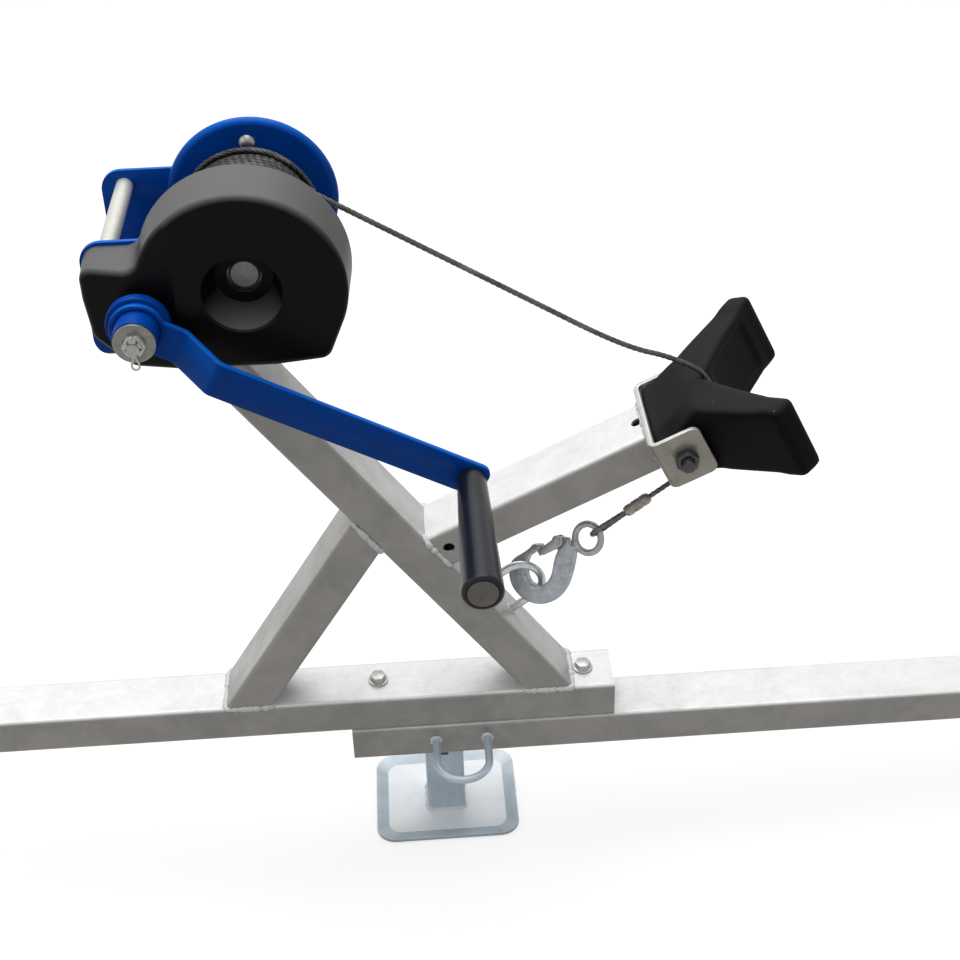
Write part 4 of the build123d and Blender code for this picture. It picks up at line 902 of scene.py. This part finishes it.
sleeve = softened("rope_ferrule", CAST_EDGE, segments=1)
rounded_over(sleeve, SLEEVE_VOXEL, SLEEVE_PASSES)
sleeve_side = LOOP_ALONG.cross(LOOP_ACROSS)
for vertex in sleeve.data.vertices:
    place = vertex.co - LOOP_CENTRE
    along = (place.dot(LOOP_ALONG) - LEG_END) / SLEEVE_LONG
    pressed = 1 - CRIMP_DEPTH * max(0.0, math.cos(math.tau * CRIMPS * along)) ** CRIMP_SHARPNESS
    pressed *= (1 - MOUTH_NARROWS * (1 - eased(along, 0.0, MOUTH))
                - TAIL_NARROWS * eased(along, TAIL, 1.0))
    vertex.co += (sleeve_side * place.dot(sleeve_side) * (SLEEVE_WIDER * pressed - 1)
                  + LOOP_ACROSS * place.dot(LOOP_ACROSS) * (pressed - 1))

free_rope, free_route = rope_along("free_rope", ROPE_ROUTE, FINE_STEP, rope_wire)
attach(free_rope, "stand")
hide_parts("rope_line")

# ---------------------------------------------------------------- rope wound on the drum
# Two layers side by side, and a last pair of turns that cross back over them to where the
# rope leaves. The inner layer only shows between the outer turns, as one grooved ring.

DRUM = Vector((-0.138, 0, 0.6905))
LOWER_LAYER, OUTER_LAYER, CROSSING_LAYER = 0.0497, 0.0540, 0.0582   # radii of the rope's middle
TURN_STEP = 0.0054
LANE_Y = -0.0108            # where the free rope leaves
LEAVES_AT = math.radians(57.6)
LEAVES_RADIUS = 0.0541
WOUND_END = 0.0378          # the last turn on each side, from the drum's middle
STEP_DOWN_Y = 0.0216        # beyond this the top layer is missing
POINTS_A_TURN = 24
SKIP_TURNS = 0.3            # where the winding jumps over the free rope's lane
BACK_SHARE = 0.5            # of the turns that the way back from the far end would fill
CROSSING_TURNS = 1.35
OUTWARDS_BY, CROSSING_BY, LEAVES_FROM = 1 / 6, 1 / 8, 0.8       # as shares of their stretch
RING_HALF, RING_INSIDE = 0.0400, 0.0450
RING_LOW, RING_HIGH = (0.0455, 0.0016), (0.0484, 0.0023)    # a groove's radius, and its rise
RING_SIDES, GROOVE_POINTS = 96, 8

# The rope on the drum is the free rope's wire painted much darker: painted shade.
wound_wire = finish_with(
    "wound_wire", zinc_group,
    {"Bright": (0.050, 0.048, 0.050, 1), "Dull": (0.010, 0.009, 0.010, 1), "Crystal scale": 900.0,
     "Crystal contrast": 0.60, "Patch scale": 70.0, "Stain": 0.45}, metallic=0.60, bump=0.25)


def round_drum(angle, radius, y):
    return DRUM + Vector((radius * math.cos(angle), y, radius * math.sin(angle)))


# stretches, in turns: up to the lane, over it, on to the far end, back from there, and across
stretches = [(WOUND_END + LANE_Y - TURN_STEP) / TURN_STEP, SKIP_TURNS,
             (WOUND_END - LANE_Y - TURN_STEP) / TURN_STEP,
             (WOUND_END - STEP_DOWN_Y) / TURN_STEP * BACK_SHARE, CROSSING_TURNS]
lane, over, end, back = [sum(stretches[:i]) for i in range(1, 5)]
total_turns = sum(stretches)
wound = []
count = int(total_turns * POINTS_A_TURN)
for i in range(count + 1):
    done = total_turns * i / count
    radius = OUTER_LAYER
    if done < lane:
        y = -WOUND_END + done * TURN_STEP
    elif done < over:
        y = LANE_Y + TURN_STEP * (2 * eased(done, lane, over) - 1)
    elif done < end:
        y = LANE_Y + TURN_STEP + (done - over) * TURN_STEP
        radius -= (OUTER_LAYER - LOWER_LAYER) * eased(y, STEP_DOWN_Y, STEP_DOWN_Y + TURN_STEP)
    elif done < back:
        share = (done - end) / (back - end)
        y = WOUND_END + (STEP_DOWN_Y - WOUND_END) * share
        radius = LOWER_LAYER + (OUTER_LAYER - LOWER_LAYER) * eased(share, 0, OUTWARDS_BY)
    else:
        share = (done - back) / CROSSING_TURNS
        y = STEP_DOWN_Y + (LANE_Y - STEP_DOWN_Y) * eased(share, 0, 1)
        radius += (CROSSING_LAYER - OUTER_LAYER) * eased(share, 0, CROSSING_BY)
        radius += (LEAVES_RADIUS - CROSSING_LAYER) * eased(share, LEAVES_FROM, 1)
    wound.append(round_drum(LEAVES_AT + (total_turns - done) * math.tau, radius, y))
wound_rope, _ = rope_along("wound_rope", wound, WOUND_STEP, wound_wire)

profile = [(-RING_HALF, RING_INSIDE)]
steps = int(2 * RING_HALF / TURN_STEP * GROOVE_POINTS)
for i in range(steps + 1):
    y = RING_HALF * (2 * i / steps - 1)
    foot, rise = RING_LOW if y > STEP_DOWN_Y else RING_HIGH
    profile.append((y, foot + rise * abs(math.cos(math.pi * y / TURN_STEP))))
profile.append((RING_HALF, RING_INSIDE))
shape = bmesh.new()
rings = [[shape.verts.new(round_drum(math.tau * side / RING_SIDES, radius, y))
          for y, radius in profile] for side in range(RING_SIDES)]
for a, b in zip(rings, rings[1:] + rings[:1]):
    for i in range(len(profile)):
        j = (i + 1) % len(profile)
        shape.faces.new((a[i], a[j], b[j], b[i]))
bmesh.ops.recalc_face_normals(shape, faces=shape.faces)
ring_mesh = bpy.data.meshes.new("inner_layer")
shape.to_mesh(ring_mesh)
shape.free()
for polygon in ring_mesh.polygons:
    polygon.use_smooth = True
ring_mesh.materials.append(wound_wire)
for piece in (wound_rope, add_object("inner_layer", ring_mesh)):
    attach(piece, "drum")
    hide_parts("rope_turns")
